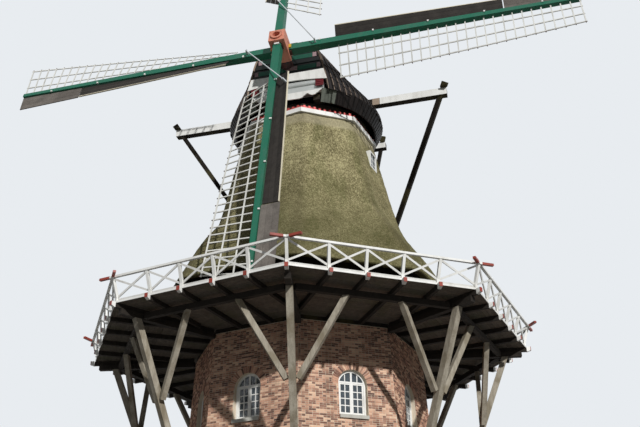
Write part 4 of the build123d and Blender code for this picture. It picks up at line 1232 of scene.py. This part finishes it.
@dataclass
class Smock:
    """Thatched smock with softened hips, a curb and a white band.

    The eave's rings are insets as shares of its thickness, and lifts. The swells of the thatch are the
    scales of a noise in plan and in height, and its size.
    """

    deck: float = 11.8
    stations: tuple[tuple[float, float], ...] = ((1.42, 5.82), (3.27, 4.80), (4.37, 4.034), (5.18, 3.70))
    top_radius: float = 2.83
    eave_thickness: float = 0.33
    eave_rings: tuple[tuple[float, float], ...] = ((0.8, 0.0), (0.35, -0.035))
    eave_inside: tuple[float, float] = (0.02, 0.1)
    top_thickness: float = 0.3
    hip_round: float = 0.2
    hip_dark_reach: float = 5.0
    around: int = 480
    rows: int = 190
    row_bias: float = 1.1
    swells: tuple[tuple[float, float, float], ...] = ((1.6, 0.7, 0.022), (9, 4, 0.012), (26, 26, 0.008))
    curb_radius: float = 2.78
    dentil: float = 0.1
    dentil_share: float = 0.9
    dentil_depth: float = 0.09
    dentil_height: float = 0.15
    dentil_gap: float = 0.002
    dormer_side: int = 1
    dormer_width: float = 0.62
    dormer_tall: float = 0.76
    dormer_frame: float = 0.06
    dormer_cover: float = 0.02
    dormer_recess: float = 0.05
    dormer_post: tuple[float, float] = (0.03, 0.03)
    dormer_bar: tuple[float, float] = (0.025, 0.028)
    dormer_levels: tuple[float, float] = (0.27, 0.49)

    def __post_init__(self) -> None:
        """Take the levels of the thatch's top, the band's top and the dormer's foot from the frame."""
        self.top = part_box("smock_thatch")[1][2]
        self.band_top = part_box("smock_band")[1][2]
        self.dormer_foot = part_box("dormer_frame")[0][2]

    def profile(self, share: float) -> tuple[float, float]:
        """Height and corner radius on a smooth curve through the stations.

        Args:
            share: 0 at the eave, 1 at the top.

        Returns:
            The height and the radius there.
        """
        heights = [self.deck + station[0] for station in self.stations] + [self.top]
        radii = [station[1] for station in self.stations] + [self.top_radius]
        height = heights[0] + (heights[-1] - heights[0]) * share
        index = max(k for k in range(len(heights) - 1) if heights[k] <= height or k == 0)
        slopes = []
        for k in range(len(heights)):
            low, high = max(k - 1, 0), min(k + 1, len(heights) - 1)
            slopes.append((radii[high] - radii[low]) / (heights[high] - heights[low]))
        step = heights[index + 1] - heights[index]
        t = (height - heights[index]) / step
        low_radius, high_radius = radii[index:index + 2]
        low_slope, high_slope = slopes[index:index + 2]
        radius = (2 * t ** 3 - 3 * t ** 2 + 1) * low_radius + (3 * t ** 2 - 2 * t ** 3) * high_radius
        bend = (t ** 3 - 2 * t ** 2 + t) * low_slope + (t ** 3 - t ** 2) * high_slope
        return height, radius + bend * step

    def outline(self, radius: float, turn: float) -> float:
        """Distance from the axis of an octagon with rounded hips, at a turn.

        Args:
            radius: Radius of the sharp corners.
            turn: Turn in plan, in degrees.

        Returns:
            The distance.
        """
        off = math.radians((turn % SIDE_TURN) - SIDE_TURN / 2)
        flat, bend = apothem(radius), self.hip_round * radius
        centre = (flat - bend) / math.cos(HALF_SIDE)
        if abs(off) <= math.atan2(centre * math.sin(HALF_SIDE), flat):
            return flat / math.cos(off)
        from_hip = HALF_SIDE - abs(off)
        return centre * math.cos(from_hip) + math.sqrt(bend ** 2 - (centre * math.sin(from_hip)) ** 2)

    def in_dormer(self, place: Vector) -> bool:
        """Whether a point of the thatch lies in the dormer's opening.

        Args:
            place: The point.

        Returns:
            True inside the opening.
        """
        turn = side_middle(self.dormer_side)
        across = abs(place.dot(direction(turn + 90)))
        rise = place.z - self.dormer_foot
        inside = across < self.dormer_width / 2 - self.dormer_cover
        return place.dot(direction(turn)) > 0 and inside \
            and self.dormer_cover < rise < self.dormer_tall - self.dormer_cover

    def thatch(self) -> None:
        """Make the thatch as one uneven skin with a thick rounded eave."""
        piece = Piece("reed_coat")
        rings = []
        eave_height, eave_radius = self.profile(0.0)
        thick = self.eave_thickness
        insets = [(thick + self.eave_inside[0], self.eave_inside[1])]
        insets += [(thick * share, lift) for share, lift in self.eave_rings]
        for inset, lift in insets:
            rings.append((eave_height + lift, eave_radius - inset / math.cos(HALF_SIDE)))
        rings += [self.profile((row / self.rows) ** self.row_bias) for row in range(self.rows + 1)]
        top_height, top_radius = self.profile(1.0)
        rings.append((top_height, top_radius - self.top_thickness))
        for height, radius in rings:
            for step in range(self.around):
                turn = step * 360 / self.around
                skin = direction(turn) * self.outline(radius, turn) + Vector((0, 0, height))
                swell = sum(size * noise.noise(Vector((skin.x * plan, skin.y * plan, skin.z * rise)))
                            for plan, rise, size in self.swells)
                piece.corners.append(skin + direction(turn) * swell)
        for row in range(len(rings) - 1):
            for step in range(self.around):
                nxt = (step + 1) % self.around
                face = (row * self.around + step, row * self.around + nxt,
                        (row + 1) * self.around + nxt, (row + 1) * self.around + step)
                if not self.in_dormer(piece.corners[face[0]]):
                    piece.faces.append(face)
                    # Tone is one on each hip and falls to nought a few degrees away, so that the reed darkens
                    # along the hips.
                    off_hip = abs((step * 360 / self.around + SIDE_TURN / 2) % SIDE_TURN - SIDE_TURN / 2)
                    piece.tones.append(max(0.0, 1 - off_hip / self.hip_dark_reach))
        piece.make("tower", Finish.REED, "thatch", "smock_thatch", smooth=True)

    def dentils(self) -> None:
        """Stand small red blocks on the white band."""
        piece = Piece("curb_dentils")
        for side in range(SIDES):
            half = self.curb_radius * math.sin(HALF_SIDE)
            face = apothem(self.curb_radius) + self.dentil_depth / 2
            wall = WallFrame(side_middle(side), self.band_top, face)
            count = int(half / self.dentil)
            for number in range(count):
                x = half * ((number + 0.5) * 2 / count - 1)
                piece.bar(wall.at(x, self.dentil_gap), wall.at(x, self.dentil_height),
                          self.dentil * self.dentil_share, self.dentil_depth, direction(wall.turn))
        piece.make("tower", Finish.RED, "red_paint")

    def dormer(self) -> None:
        """Glaze the dormer with small panes."""
        piece = Piece("dormer_bars")
        eave = self.profile(0.0)[0]
        radius = self.profile((self.dormer_foot - eave) / (self.top - eave))[1]
        face = apothem(radius) - self.dormer_recess
        wall = WallFrame(side_middle(self.dormer_side), self.dormer_foot, face)
        outward = direction(wall.turn)
        half, head = self.dormer_width / 2 - self.dormer_frame, self.dormer_tall - self.dormer_frame
        piece.bar(wall.at(0, self.dormer_frame), wall.at(0, head), *self.dormer_post, outward)
        for level in self.dormer_levels:
            piece.bar(wall.at(-half, level), wall.at(half, level), *self.dormer_bar, outward)
        piece.make("tower", Finish.WHITE, "white_paint")

    def build(self) -> None:
        """Make the thatch and dress the rest."""
        dress(Finish.TAR, "smock_walls")
        dress(Finish.RED, "smock_curb")
        dress(Finish.WHITE, "smock_band", "dormer_frame")
        self.thatch()
        self.dentils()
        self.dormer()


@dataclass
class Cap:
    """Boat-shaped boarded cap with its beams, tail pole and braces.

    A station of the roof holds its rise, its half widths at the gable and at the widest place, how far
    back it reaches, and its half width there. A room is what a cross beam takes: its back, front, bottom
    and top. The tail pole's room is given by its front, half width and top. A gable board is given by its
    bottom, top and half width, and the middle block by its ends, level and size. A mark of the beard is
    a share of its half width and the drop there.
    """

    heading: float = HEADING
    front: float = 2.94
    rim: float = 21.64
    stations: tuple[tuple[float, ...], ...] = (
        (-0.05, 1.64, 3.23, 3.23, 1.15), (0.48, 1.57, 3.03, 3.16, 1.02), (1.2, 1.44, 2.33, 2.96, 0.72),
        (1.93, 1.23, 1.56, 2.5, 0.43), (2.43, 0.52, 0.64, 1.9, 0.22),
    )
    widest: float = 0.465
    boards: int = 30
    back_boards: int = 5
    tiers: tuple[tuple[float, float], ...] = ((-0.02, 1.22), (1.16, 2.415))
    lap_front: float = 0.024
    lap_back: float = 0.007
    edge_width: float = 0.016
    board_steps: int = 6
    board_seat: float = 0.001
    board_play: tuple[float, float] = (-0.08, 0.03)
    board_overlap: float = 0.002
    corner_share: float = 0.004
    tail_share: float = 1.995
    tier_lift: float = 0.02
    roof_length: float = 6.3
    probe: tuple[float, float] = (0.7, 1.3)
    least_board: float = 0.03
    rooms: tuple[tuple[float, ...], ...] = ((-0.37, -0.01, 22.51, 22.89), (-3.08, -2.73, 22.08, 22.42))
    tail_room: tuple[float, ...] = (-2.9, 0.18, 22.28)
    skirt_foot: tuple[float, float] = (2.945, 21.165)
    skirt_head: tuple[float, float] = (3.231, 21.64)
    skirt_turns: tuple[float, float] = (37.0, 176.0)
    cheek_turns: tuple[float, float] = (26.0, 37.0)
    skirt_boards: int = 36
    cheek_boards: int = 4
    skirt_lap: float = 0.04
    skirt_lifts: tuple[float, ...] = (0.001, 0.03, 0.014, 0.001)
    skirt_play: tuple[float, float] = (-0.03, 0.015)
    ridge_rows: int = 7
    ridge_pitch: float = 1 / 3.7
    ridge_board: tuple[float, float] = (0.26, 0.022)
    ridge_lift: float = 0.012
    ridge_fronts: tuple[float, float] = (2.96, 1.8)
    ridge_middle: float = 0.5
    ridge_tail: tuple[float, float] = (0.45, 0.53)
    verge_steps: int = 10
    verge_span: tuple[float, float] = (0.06, 2.4)
    verge_ring: tuple[tuple[float, float], ...] = ((0.02, -0.03), (0.02, 0.034), (0.05, 0.034), (0.05, -0.03))
    gable_front: float = 2.92
    gable_boards: tuple[tuple[float, ...], ...] = ((22.68, 22.89, 1.22), (23.23, 23.44, 1.06))
    gable_board: float = 0.05
    end_block: tuple[float, float] = (0.16, 0.07)
    middle_block: tuple[float, ...] = (-0.05, 0.42, 22.785, 0.05, 0.19)
    slats: int = 4
    slat_front: float = 2.96
    slat_ends: tuple[float, float] = (1.17, 1.5)
    slat_size: tuple[float, float] = (0.035, 0.072)
    slat_pitch: float = 0.09
    slat_drop: float = 0.38
    beam_levels: tuple[float, float] = (22.54, 22.86)
    beam_face: float = -0.033
    beam_boards: tuple[tuple[float, float], ...] = ((3.22, 6.062), (-3.4, -6.062))
    beam_root: tuple[float, float] = (2.9, 3.21)
    short_levels: tuple[float, float] = (22.11, 22.39)
    short_face: float = -2.753
    short_board: tuple[float, float] = (2.2, 2.942)
    face_board: float = 0.012
    face_cover: float = 0.004
    beard_front: float = 2.92
    beard_thickness: float = 0.045
    beard_half: float = 1.4
    beard_steps: int = 60
    beard_shelf: tuple[float, float] = (0.15, 0.03)
    beard_marks: tuple[tuple[float, float], ...] = (
        (0.0, 0.3), (0.34, 0.31), (0.42, 0.29), (0.5, 0.2), (0.56, 0.13), (0.61, 0.12), (0.66, 0.19),
        (0.72, 0.23), (0.8, 0.22), (0.88, 0.15), (0.95, 0.07), (1.0, 0.03),
    )

    def __post_init__(self) -> None:
        """Gather the roof's own surface, which the boards are laid on."""
        corners, polygons = [], []
        for node in ("cap_roof_left", "cap_roof_right"):
            mesh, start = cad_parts[node].data, len(corners)
            corners += [vertex.co.copy() for vertex in mesh.vertices]
            polygons += [[start + index for index in polygon.vertices] for polygon in mesh.polygons]
        self.roof = BVHTree.FromPolygons(corners, polygons)

    def at(self, forward: float, across: float, height: float) -> Vector:
        """Point from its distances towards the sails and to the right of them, and its height."""
        plan = direction(self.heading) * forward + direction(self.heading + 90) * across
        return plan + Vector((0, 0, height))

    def guide(self, share: float, rise: float, hand: int) -> Vector:
        """Point near the roof's outside.

        Args:
            share: 0 at the gable, 1 at the back corner, and 2 at the middle of the back wall.
            rise: Height above the rim.
            hand: 1 on the right half, -1 on the left half.

        Returns:
            The point, within a hand's breadth of the surface.
        """
        pair = max(k for k in range(len(self.stations) - 1) if self.stations[k][0] <= rise or k == 0)
        low, high = self.stations[pair], self.stations[pair + 1]
        t = (rise - low[0]) / (high[0] - low[0])
        front_half, middle_half, back, back_half = (a + (b - a) * t for a, b in zip(low[1:], high[1:]))
        u, w = min(share, 1.0), self.widest
        shares = ((u - w) * (u - 1) / w, u * (u - 1) / (w * (w - 1)), u * (u - w) / (1 - w))
        forward = shares[0] * self.front - shares[2] * back
        across = shares[0] * front_half + shares[1] * middle_half + shares[2] * back_half
        return self.at(forward, hand * across * min(1.0, 2 - share), self.rim + rise)

    def surface(self, share: float, rise: float, hand: int) -> tuple[Vector, Vector]:
        """Point on the roof and the outward direction there.

        Args:
            share: Place along the roof, as in guide.
            rise: Height above the rim.
            hand: Which half of the roof.

        Returns:
            The point and the unit vector.
        """
        spot = self.guide(share, rise, hand)
        step = self.corner_share
        if share > 1:
            outward = -direction(self.heading)
        else:
            run = self.guide(min(share + step, 1), rise, hand) - self.guide(max(share - step, 0), rise, hand)
            outward = Vector((0, 0, 1)).cross(run).normalized() * -hand
            if outward.dot(direction(self.heading + 90)) * hand < 0:
                outward = -outward
        start, reach = self.probe
        hit, normal, _, _ = self.roof.ray_cast(spot + outward * start, -outward, reach)
        if hit is None:
            return spot, outward
        return hit, normal if normal.dot(outward) > 0 else -normal

    def spans(self, shares: tuple[float, float], low: float, high: float,
              hand: int) -> list[tuple[float, float]]:
        """Stretches of a board that the beams and the tail pole leave.

        Args:
            shares: Where the board's edges lie, as in guide.
            low: Rise of its foot.
            high: Rise of its head.
            hand: Which half of the roof.

        Returns:
            Foot and head of each stretch.
        """
        ends = [self.guide(share, (low + high) / 2, hand) for share in shares]
        forwards = [end.dot(direction(self.heading)) for end in ends]
        acrosses = [abs(end.dot(direction(self.heading + 90))) for end in ends]
        pieces = [(low, high)]
        cuts = [(bottom, top) for back, front, bottom, top in self.rooms
                if min(forwards) < front and max(forwards) > back]
        back, half, top = self.tail_room
        if max(forwards) < back and min(acrosses) < half:
            cuts.append((self.rim - 1, top))
        for bottom, top in cuts:
            parts = [part for a, b in pieces
                     for part in ((a, min(b, bottom - self.rim)), (max(a, top - self.rim), b))]
            pieces = [(a, b) for a, b in parts if b - a > self.least_board]
        return pieces

    def lay_board(self, boards: Piece, edges: Piece, shares: tuple[float, float], span: tuple[float, float],
                  hand: int, raised: float) -> None:
        """Lay one roof board with its worn front edge.

        Args:
            boards: Piece that gathers the boards.
            edges: Piece that gathers the pale edges.
            shares: Where the board's front and back edges lie.
            span: Rise of its foot and head.
            hand: Which half of the roof.
            raised: How far its foot stands off, over the board below.
        """
        body, edge = [], []
        width = self.edge_width / self.roof_length
        for step in range(self.board_steps + 1):
            rise = span[0] + (span[1] - span[0]) * step / self.board_steps
            off = raised * (1 - step / self.board_steps)
            foot, out = self.surface(shares[0], rise, hand)
            far, far_out = self.surface(shares[1], rise, hand)
            near, near_out = self.surface(shares[0] + width, rise, hand)
            lift = self.lap_front + off
            body.append([foot + out * self.board_seat, foot + out * lift,
                         far + far_out * (self.lap_back + off), far + far_out * self.board_seat])
            edge.append([foot + out * (lift - 0.002), foot + out * (lift + 0.004),
                         near + near_out * (lift + 0.003), near + near_out * (lift - 0.002)])
        boards.loft(body)
        edges.loft(edge)

    def roof_boards(self) -> None:
        """Board both halves of the roof and the back wall in two lapped tiers."""
        boards, edges = Piece("cap_boards"), Piece("cap_board_edges")
        marks = [k / self.boards for k in range(self.boards + 1)]
        marks += [1 + k / self.back_boards for k in range(1, self.back_boards + 1)]
        for hand in (-1, 1):
            for tier, (low, high) in enumerate(self.tiers):
                for first, second in zip(marks, marks[1:]):
                    last = min(second + self.board_overlap, self.tail_share) if second > 1 else second
                    shares = (max(first, self.corner_share), last)
                    foot = low + boards.random.uniform(*self.board_play)
                    for span in self.spans(shares, foot, high, hand):
                        self.lay_board(boards, edges, shares, span, hand, self.tier_lift * tier)
        boards.make("cap", Finish.CAP_BOARD, "cap_boards")
        edges.make("cap", Finish.BOARD_EDGE, "cap_boards")

    def ridge(self) -> None:
        """Lay the flat ridge's boards."""
        piece = Piece("ridge_boards")
        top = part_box("cap_roof_left")[1][2]
        half, tail = self.stations[-1][2], -self.stations[-1][3]
        level = top + self.ridge_lift
        for number in range(self.ridge_rows):
            across = (number - self.ridge_rows // 2) * half * self.ridge_pitch
            reach = max(0.0, 1 - (abs(across) / half) ** 2)
            start = self.ridge_fronts[abs(across) >= self.ridge_middle]
            end = tail * (self.ridge_tail[0] + self.ridge_tail[1] * reach)
            piece.bar(self.at(start, across, level), self.at(end, across, level),
                      half * self.ridge_board[0], self.ridge_board[1])
        piece.make("cap", Finish.CAP_BOARD, "cap_boards")

    def verge(self) -> None:
        """Run worn strips up the roof's front edges."""
        piece = Piece("verge_strips")
        low, high = self.verge_span
        for hand in (-1, 1):
            rings = []
            for step in range(self.verge_steps + 1):
                rise = low + (high - low) * step / self.verge_steps
                foot, out = self.surface(self.corner_share, rise, hand)
                rings.append([foot + direction(self.heading) * a + out * b for a, b in self.verge_ring])
            piece.loft(rings)
        piece.make("cap", Finish.BOARD_EDGE, "cap_boards")

    def cone(self, turn: float, share: float, off: float) -> Vector:
        """Point on the skirt, from its turn off the heading, its share of the height and its lift.

        Args:
            turn: Turn off the heading, in degrees.
            share: 0 at the foot, 1 at the head.
            off: Lift off the skirt's own face.

        Returns:
            The point.
        """
        (low_radius, low), (high_radius, high) = self.skirt_foot, self.skirt_head
        slope = Vector((high_radius - low_radius, high - low)).normalized()
        radius = low_radius + (high_radius - low_radius) * share + off * slope.y
        height = low + (high - low) * share - off * slope.x
        return direction(self.heading + turn) * radius + Vector((0, 0, height))

    def skirt(self) -> None:
        """Lap the skirt's boards, and close the corners beside the beard with paler grey boards, partly
        painted sunlight on the skirt's forward part.
        """
        dark, cheek = Piece("skirt_boards"), Piece("cheek_boards")
        for hand in (-1, 1):
            for piece, (first, last), count in ((dark, self.skirt_turns, self.skirt_boards),
                                                (cheek, self.cheek_turns, self.cheek_boards)):
                for number in range(count):
                    near, far = (hand * (first + (last - first) * (number + edge) / count)
                                 for edge in (0, 1 + self.skirt_lap))
                    foot = piece.random.uniform(*self.skirt_play)
                    piece.loft([[self.cone(turn, share, lift)
                                 for turn, lift in zip((near, near, far, far), self.skirt_lifts)]
                                for share in (foot, 1.0)])
        dark.make("cap", Finish.SKIRT, "tarred_boards")
        cheek.make("cap", Finish.CHEEK, "grey_paint")

    def gable(self) -> None:
        """Add the gable's painted boards, their end blocks and the slats beside the breast beam."""
        green, blocks, slats = Piece("gable_green_boards"), Piece("gable_end_blocks"), Piece("breast_slats")
        face = self.gable_front
        for low, high, half in self.gable_boards:
            middle = (low + high) / 2
            green.bar(self.at(face, -half, middle), self.at(face, half, middle), self.gable_board, high - low)
            for hand in (-1, 1):
                start = self.at(face, hand * (half + 0.004), middle)
                end = self.at(face, hand * (half + self.end_block[0]), middle)
                blocks.bar(start, end, self.end_block[1], high - low)
        start, end, middle, *size = self.middle_block
        blocks.bar(self.at(self.front, start, middle), self.at(self.front, end, middle), *size)
        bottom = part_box("breast_beam")[1][2] - self.slat_drop
        for hand in (-1, 1):
            for number in range(self.slats):
                level = bottom + self.slat_pitch * number
                start, end = (self.at(self.slat_front, hand * across, level) for across in self.slat_ends)
                slats.bar(start, end, *self.slat_size)
        green.make("cap", Finish.GABLE_GREEN, "green_paint")
        blocks.make("cap", Finish.BLOCK, "grey_paint")
        slats.make("cap", Finish.SLAT_RED, "red_paint")

    def beard(self) -> None:
        """Cut the beard board with its lobe and scrolls, and hang it on a shelf under the breast beam."""
        piece = Piece("carved_beard")
        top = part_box("cap_beard")[1][2]
        ring = []
        for step in range(-self.beard_steps, self.beard_steps + 1):
            across = self.beard_half * step / self.beard_steps
            ring.append((across, self.beard_drop(abs(across) / self.beard_half)))
        for (left, low), (right, next_low) in zip(ring, ring[1:]):
            face = [(left, top), (right, top), (right, top - next_low), (left, top - low)]
            piece.prism([self.at(self.beard_front - self.beard_thickness, a, z) for a, z in face],
                        [self.at(self.beard_front, a, z) for a, z in face])
        reach, thickness = self.beard_shelf
        back, level = self.beard_front - self.beard_thickness, top - thickness / 2 - 0.001
        piece.bar(self.at(back - reach, 0, level), self.at(back - 0.001, 0, level),
                  2 * self.beard_half, thickness)
        piece.make("cap", Finish.WHITE, "white_paint", "cap_beard")

    def beard_drop(self, share: float) -> float:
        """Depth of the beard at a share of its half width: lobe, throat, scroll and tapering end.

        Args:
            share: 0 in the middle, 1 at the end.

        Returns:
            How far the edge hangs below the top.
        """
        for (start, low), (end, high) in zip(self.beard_marks, self.beard_marks[1:]):
            if share <= end:
                t = (share - start) / (end - start)
                return low + (high - low) * t * t * (3 - 2 * t)
        return self.beard_marks[-1][1]

    def beam_faces(self) -> None:
        """Face the cross beams' ends with white boards."""
        white, brown = Piece("beam_face_boards"), Piece("beam_root_boards")
        runs = [(white, self.beam_face, ends, self.beam_levels) for ends in self.beam_boards]
        runs.append((brown, self.beam_face, self.beam_root, self.beam_levels))
        runs += [(white, self.short_face, [hand * end for end in self.short_board], self.short_levels)
                 for hand in (-1, 1)]
        for piece, face, (start, end), (low, high) in runs:
            level = (low + high) / 2
            piece.bar(self.at(face, start, level), self.at(face, end, level), self.face_board,
                      high - low + self.face_cover)
        white.make("cap", Finish.WHITE, "white_paint")
        brown.make("cap", Finish.OLD_OAK, "old_oak")

    def build(self) -> None:
        """Dress the cap and lay its boards."""
        dress(Finish.CAP_BOARD, "cap_roof_left", "cap_roof_right")
        dress(Finish.SKIRT, "cap_skirt")
        dress(Finish.TAR, "cap_ring", "cross_beams", "tail_pole", "tail_braces")
        dress(Finish.TAR, "cap_sheers")
        dress(Finish.OLD_OAK, "weather_beam", "cap_posts")
        dress(Finish.GREY, "breast_beam")
        # The gable is darker than its own dark green: the rest is painted shade.
        dress(Finish.GABLE_DARK, "cap_gable")
        dress(Finish.WHITE, "cap_fascia")
        dress(Finish.STRUT_OAK, "tail_winch")
        self.roof_boards()
        self.ridge()
        self.verge()
        self.skirt()
        self.gable()
        self.beard()
        self.beam_faces()


@dataclass(frozen=True)
class SailArm:
    """Frame of one sail: along it from the hub, across it to the leading side, and lift towards the front."""

    arm: int
    heading: float = HEADING
    hub_forward: float = 3.9
    hub_height: float = 23.226
    tilt: float = 13.5
    stock_spacing: float = 0.5
    first_bar: float = 2.3
    last_bar: float = 11.452
    weather_root: float = 26.0
    weather_tip: float = -4.0

    def axis(self) -> Vector:
        """Direction of the windshaft."""
        tilt = math.radians(self.tilt)
        return direction(self.heading) * math.cos(tilt) + Vector((0, 0, math.sin(tilt)))

    def out(self) -> Vector:
        """Direction of the sail from the hub.

        Returns:
            The unit vector.
        """
        sideways = direction(self.heading + 90)
        turn = math.radians(90 * self.arm)
        return self.axis().cross(sideways) * math.cos(turn) - sideways * math.sin(turn)

    def at(self, along: float, across: float, lift: float, twisted: bool = True) -> Vector:
        """Point of the sail, which turns with the weather, or of its stock, which doesn't.

        Args:
            along: Distance from the hub.
            across: Distance to the leading side.
            lift: Distance to the front.
            twisted: False for a point of the stock.

        Returns:
            The point.
        """
        axis, out = self.axis(), self.out()
        share = (along - self.first_bar) / (self.last_bar - self.first_bar)
        weather = self.weather_root + (self.weather_tip - self.weather_root) * share
        angle = math.radians(weather) if twisted else 0.0
        side = axis.cross(out) * math.cos(angle) + axis * math.sin(angle)
        hub = direction(self.heading) * self.hub_forward + Vector((0, 0, self.hub_height))
        shift = self.stock_spacing / 2 if self.arm % 2 == 0 else -self.stock_spacing / 2
        return hub + axis * shift + out * along + side * across + out.cross(side) * lift


@dataclass
class Sails:
    """Four lattice sails on two stocks in the poll end of the windshaft."""

    board_starts: tuple[float, float] = (2.4, 2.2)
    board_end: float = 8.7
    tip_start: float = 8.74
    tip_end: float = 11.497
    board_edge: float = 0.72
    tip_edge: float = 0.78
    planks: int = 3
    plank_gap: float = 0.006
    plank_steps: int = 9
    plank_play: float = 0.003
    thickness: float = 0.036
    batten_steps: int = 12
    batten_ring: tuple[tuple[float, float], ...] = (
        (-0.004, -0.026), (0.026, -0.026), (0.026, 0.026), (-0.004, 0.026),
    )
    stock_root: float = 0.32
    stock_tip: float = 0.17
    stock_reach: float = 11.5
    poll_half: float = 0.32
    bars: int = 27
    bar_pitch: float = 0.352
    lattice: float = 1.54
    bar_end: tuple[float, float] = (0.034, 0.026)
    bar_end_reach: tuple[float, float] = (0.024, 0.07)
    catches: int = 5
    catch_starts: tuple[float, float] = (2.55, 1.57)
    catch_pitch: float = 2.14
    catch_size: tuple[float, float] = (0.06, 0.04)
    catch_ends: tuple[float, float] = (0.55, 1.2)
    catch_lift: float = 0.022
    tip_margin: float = 0.2
    wedge_room: float = 0.028
    wedge_reach: tuple[float, float] = (0.002, 0.1)
    wedge_size: tuple[float, float] = (0.2, 0.05)

    def stock_half(self, along: float) -> float:
        """Half the thickness of a stock at a distance from the hub."""
        share = max(0.0, (along - 2 * self.poll_half) / (self.stock_reach - 2 * self.poll_half))
        return (self.stock_root + (self.stock_tip - self.stock_root) * share) / 2

    def plank(self, piece: Piece, sail: SailArm, ends: tuple[float, float], edges: tuple[float, float],
              lift: float) -> None:
        """Add one twisted plank of a windboard, from its ends along and its edges as shares of the width.

        Args:
            piece: Piece that gathers the planks.
            sail: The sail.
            ends: Distances of its ends from the hub.
            edges: Its inner and outer edge.
            lift: Distance of its middle to the front.
        """
        rings = []
        for step in range(self.plank_steps + 1):
            along = ends[0] + (ends[1] - ends[0]) * step / self.plank_steps
            inner = self.stock_half(ends[0]) * 1.06 + 0.004
            width = (self.board_edge if ends[1] < self.tip_start else self.tip_edge) - inner
            low, high = inner + width * edges[0], inner + width * edges[1] - self.plank_gap
            half = self.thickness / 2
            rings.append([sail.at(along, low, lift - half), sail.at(along, high, lift - half),
                          sail.at(along, high, lift + half), sail.at(along, low, lift + half)])
        piece.loft(rings)

    def windboards(self) -> None:
        """Board the leading side of each sail, with a pale edge up to the bare tip boards."""
        boards, tips, battens = Piece("windboard_planks"), Piece("tip_board_planks"), Piece("windboard_edges")
        for arm in range(4):
            sail = SailArm(arm)
            start = self.board_starts[arm % 2]
            for piece, ends in ((boards, (start, self.board_end)), (tips, (self.tip_start, self.tip_end))):
                for number in range(self.planks):
                    shares = (number / self.planks, (number + 1) / self.planks)
                    lift = piece.random.uniform(-self.plank_play, self.plank_play)
                    self.plank(piece, sail, ends, shares, lift)
            step = (self.board_end - start) / self.batten_steps
            battens.loft([[sail.at(start + step * number, self.board_edge + across, lift)
                           for across, lift in self.batten_ring] for number in range(self.batten_steps + 1)])
        boards.make("sails", Finish.WINDBOARD, "windboard_brown", "windboards")
        tips.make("sails", Finish.TIP_BOARD, "windboard_brown")
        battens.make("sails", Finish.CREAM, "sail_white")

    def fittings(self) -> None:
        """Screw white catches on the stocks, and tip the bars with dark ends."""
        catches, tips = Piece("stock_catches"), Piece("bar_ends")
        for arm in range(4):
            sail = SailArm(arm)
            for number in range(self.catches):
                along = self.catch_starts[arm % 2] + number * self.catch_pitch
                if along > self.stock_reach - self.tip_margin:
                    continue
                half = self.stock_half(along)
                start, end = (sail.at(along, half * share, half + self.catch_lift, False)
                              for share in self.catch_ends)
                catches.bar(start, end, *self.catch_size, sail.axis())
            for number in range(self.bars):
                along = sail.first_bar + number * self.bar_pitch
                start, end = (sail.at(along, -self.lattice - reach, 0) for reach in self.bar_end_reach)
                tips.bar(start, end, *self.bar_end, sail.axis())
        catches.make("sails", Finish.WHITE, "sail_white")
        tips.make("sails", Finish.IRON, "cast_iron_paint")

    def wedges(self) -> None:
        """Drive the wedges beside the stocks at the mouths of the poll end."""
        white, yellow, dark = Piece("white_wedges"), Piece("yellow_wedges"), Piece("dark_wedges")
        for arm in range(4):
            sail = SailArm(arm)
            room = self.stock_root / 2 + self.wedge_room
            start, end = (self.poll_half + reach for reach in self.wedge_reach)
            for piece, across, lift, facing in (
                    (white if arm % 2 == 0 else yellow, 0.0, room, sail.axis()),
                    (white, 0.0, -room, sail.axis()),
                    (dark if arm % 2 == 0 else white, room, 0.0, sail.axis().cross(sail.out())),
                    (dark, -room, 0.0, sail.axis().cross(sail.out()))):
                foot, head = (sail.at(along, across, lift, False) for along in (start, end))
                piece.bar(foot, head, *self.wedge_size, facing)
        white.make("sails", Finish.WHITE, "white_paint")
        yellow.make("sails", Finish.YELLOW, "sail_white")
        dark.make("sails", Finish.IRON, "cast_iron_paint")

    def build(self) -> None:
        """Dress the sails and make their boards and fittings."""
        dress(Finish.POLL, "windshaft")
        dress(Finish.STOCK_GREEN, "stock_outer", "stock_inner")
        dress(Finish.WORN_WHITE, "sail_lattices_outer", "sail_lattices_inner")
        dress(Finish.ROD, "sail_stays")
        self.windboards()
        self.fittings()
        self.wedges()


def main() -> None:
    """Build every sub-assembly in order."""
    logging.basicConfig(level=logging.INFO, format="%(name)s: %(message)s")
    for assembly in (Studio(), BrickBase(), Gallery(), Smock(), Cap(), Sails()):
        log.info("building %s", type(assembly).__name__)
        assembly.build()


if __name__ == "__main__":
    main()
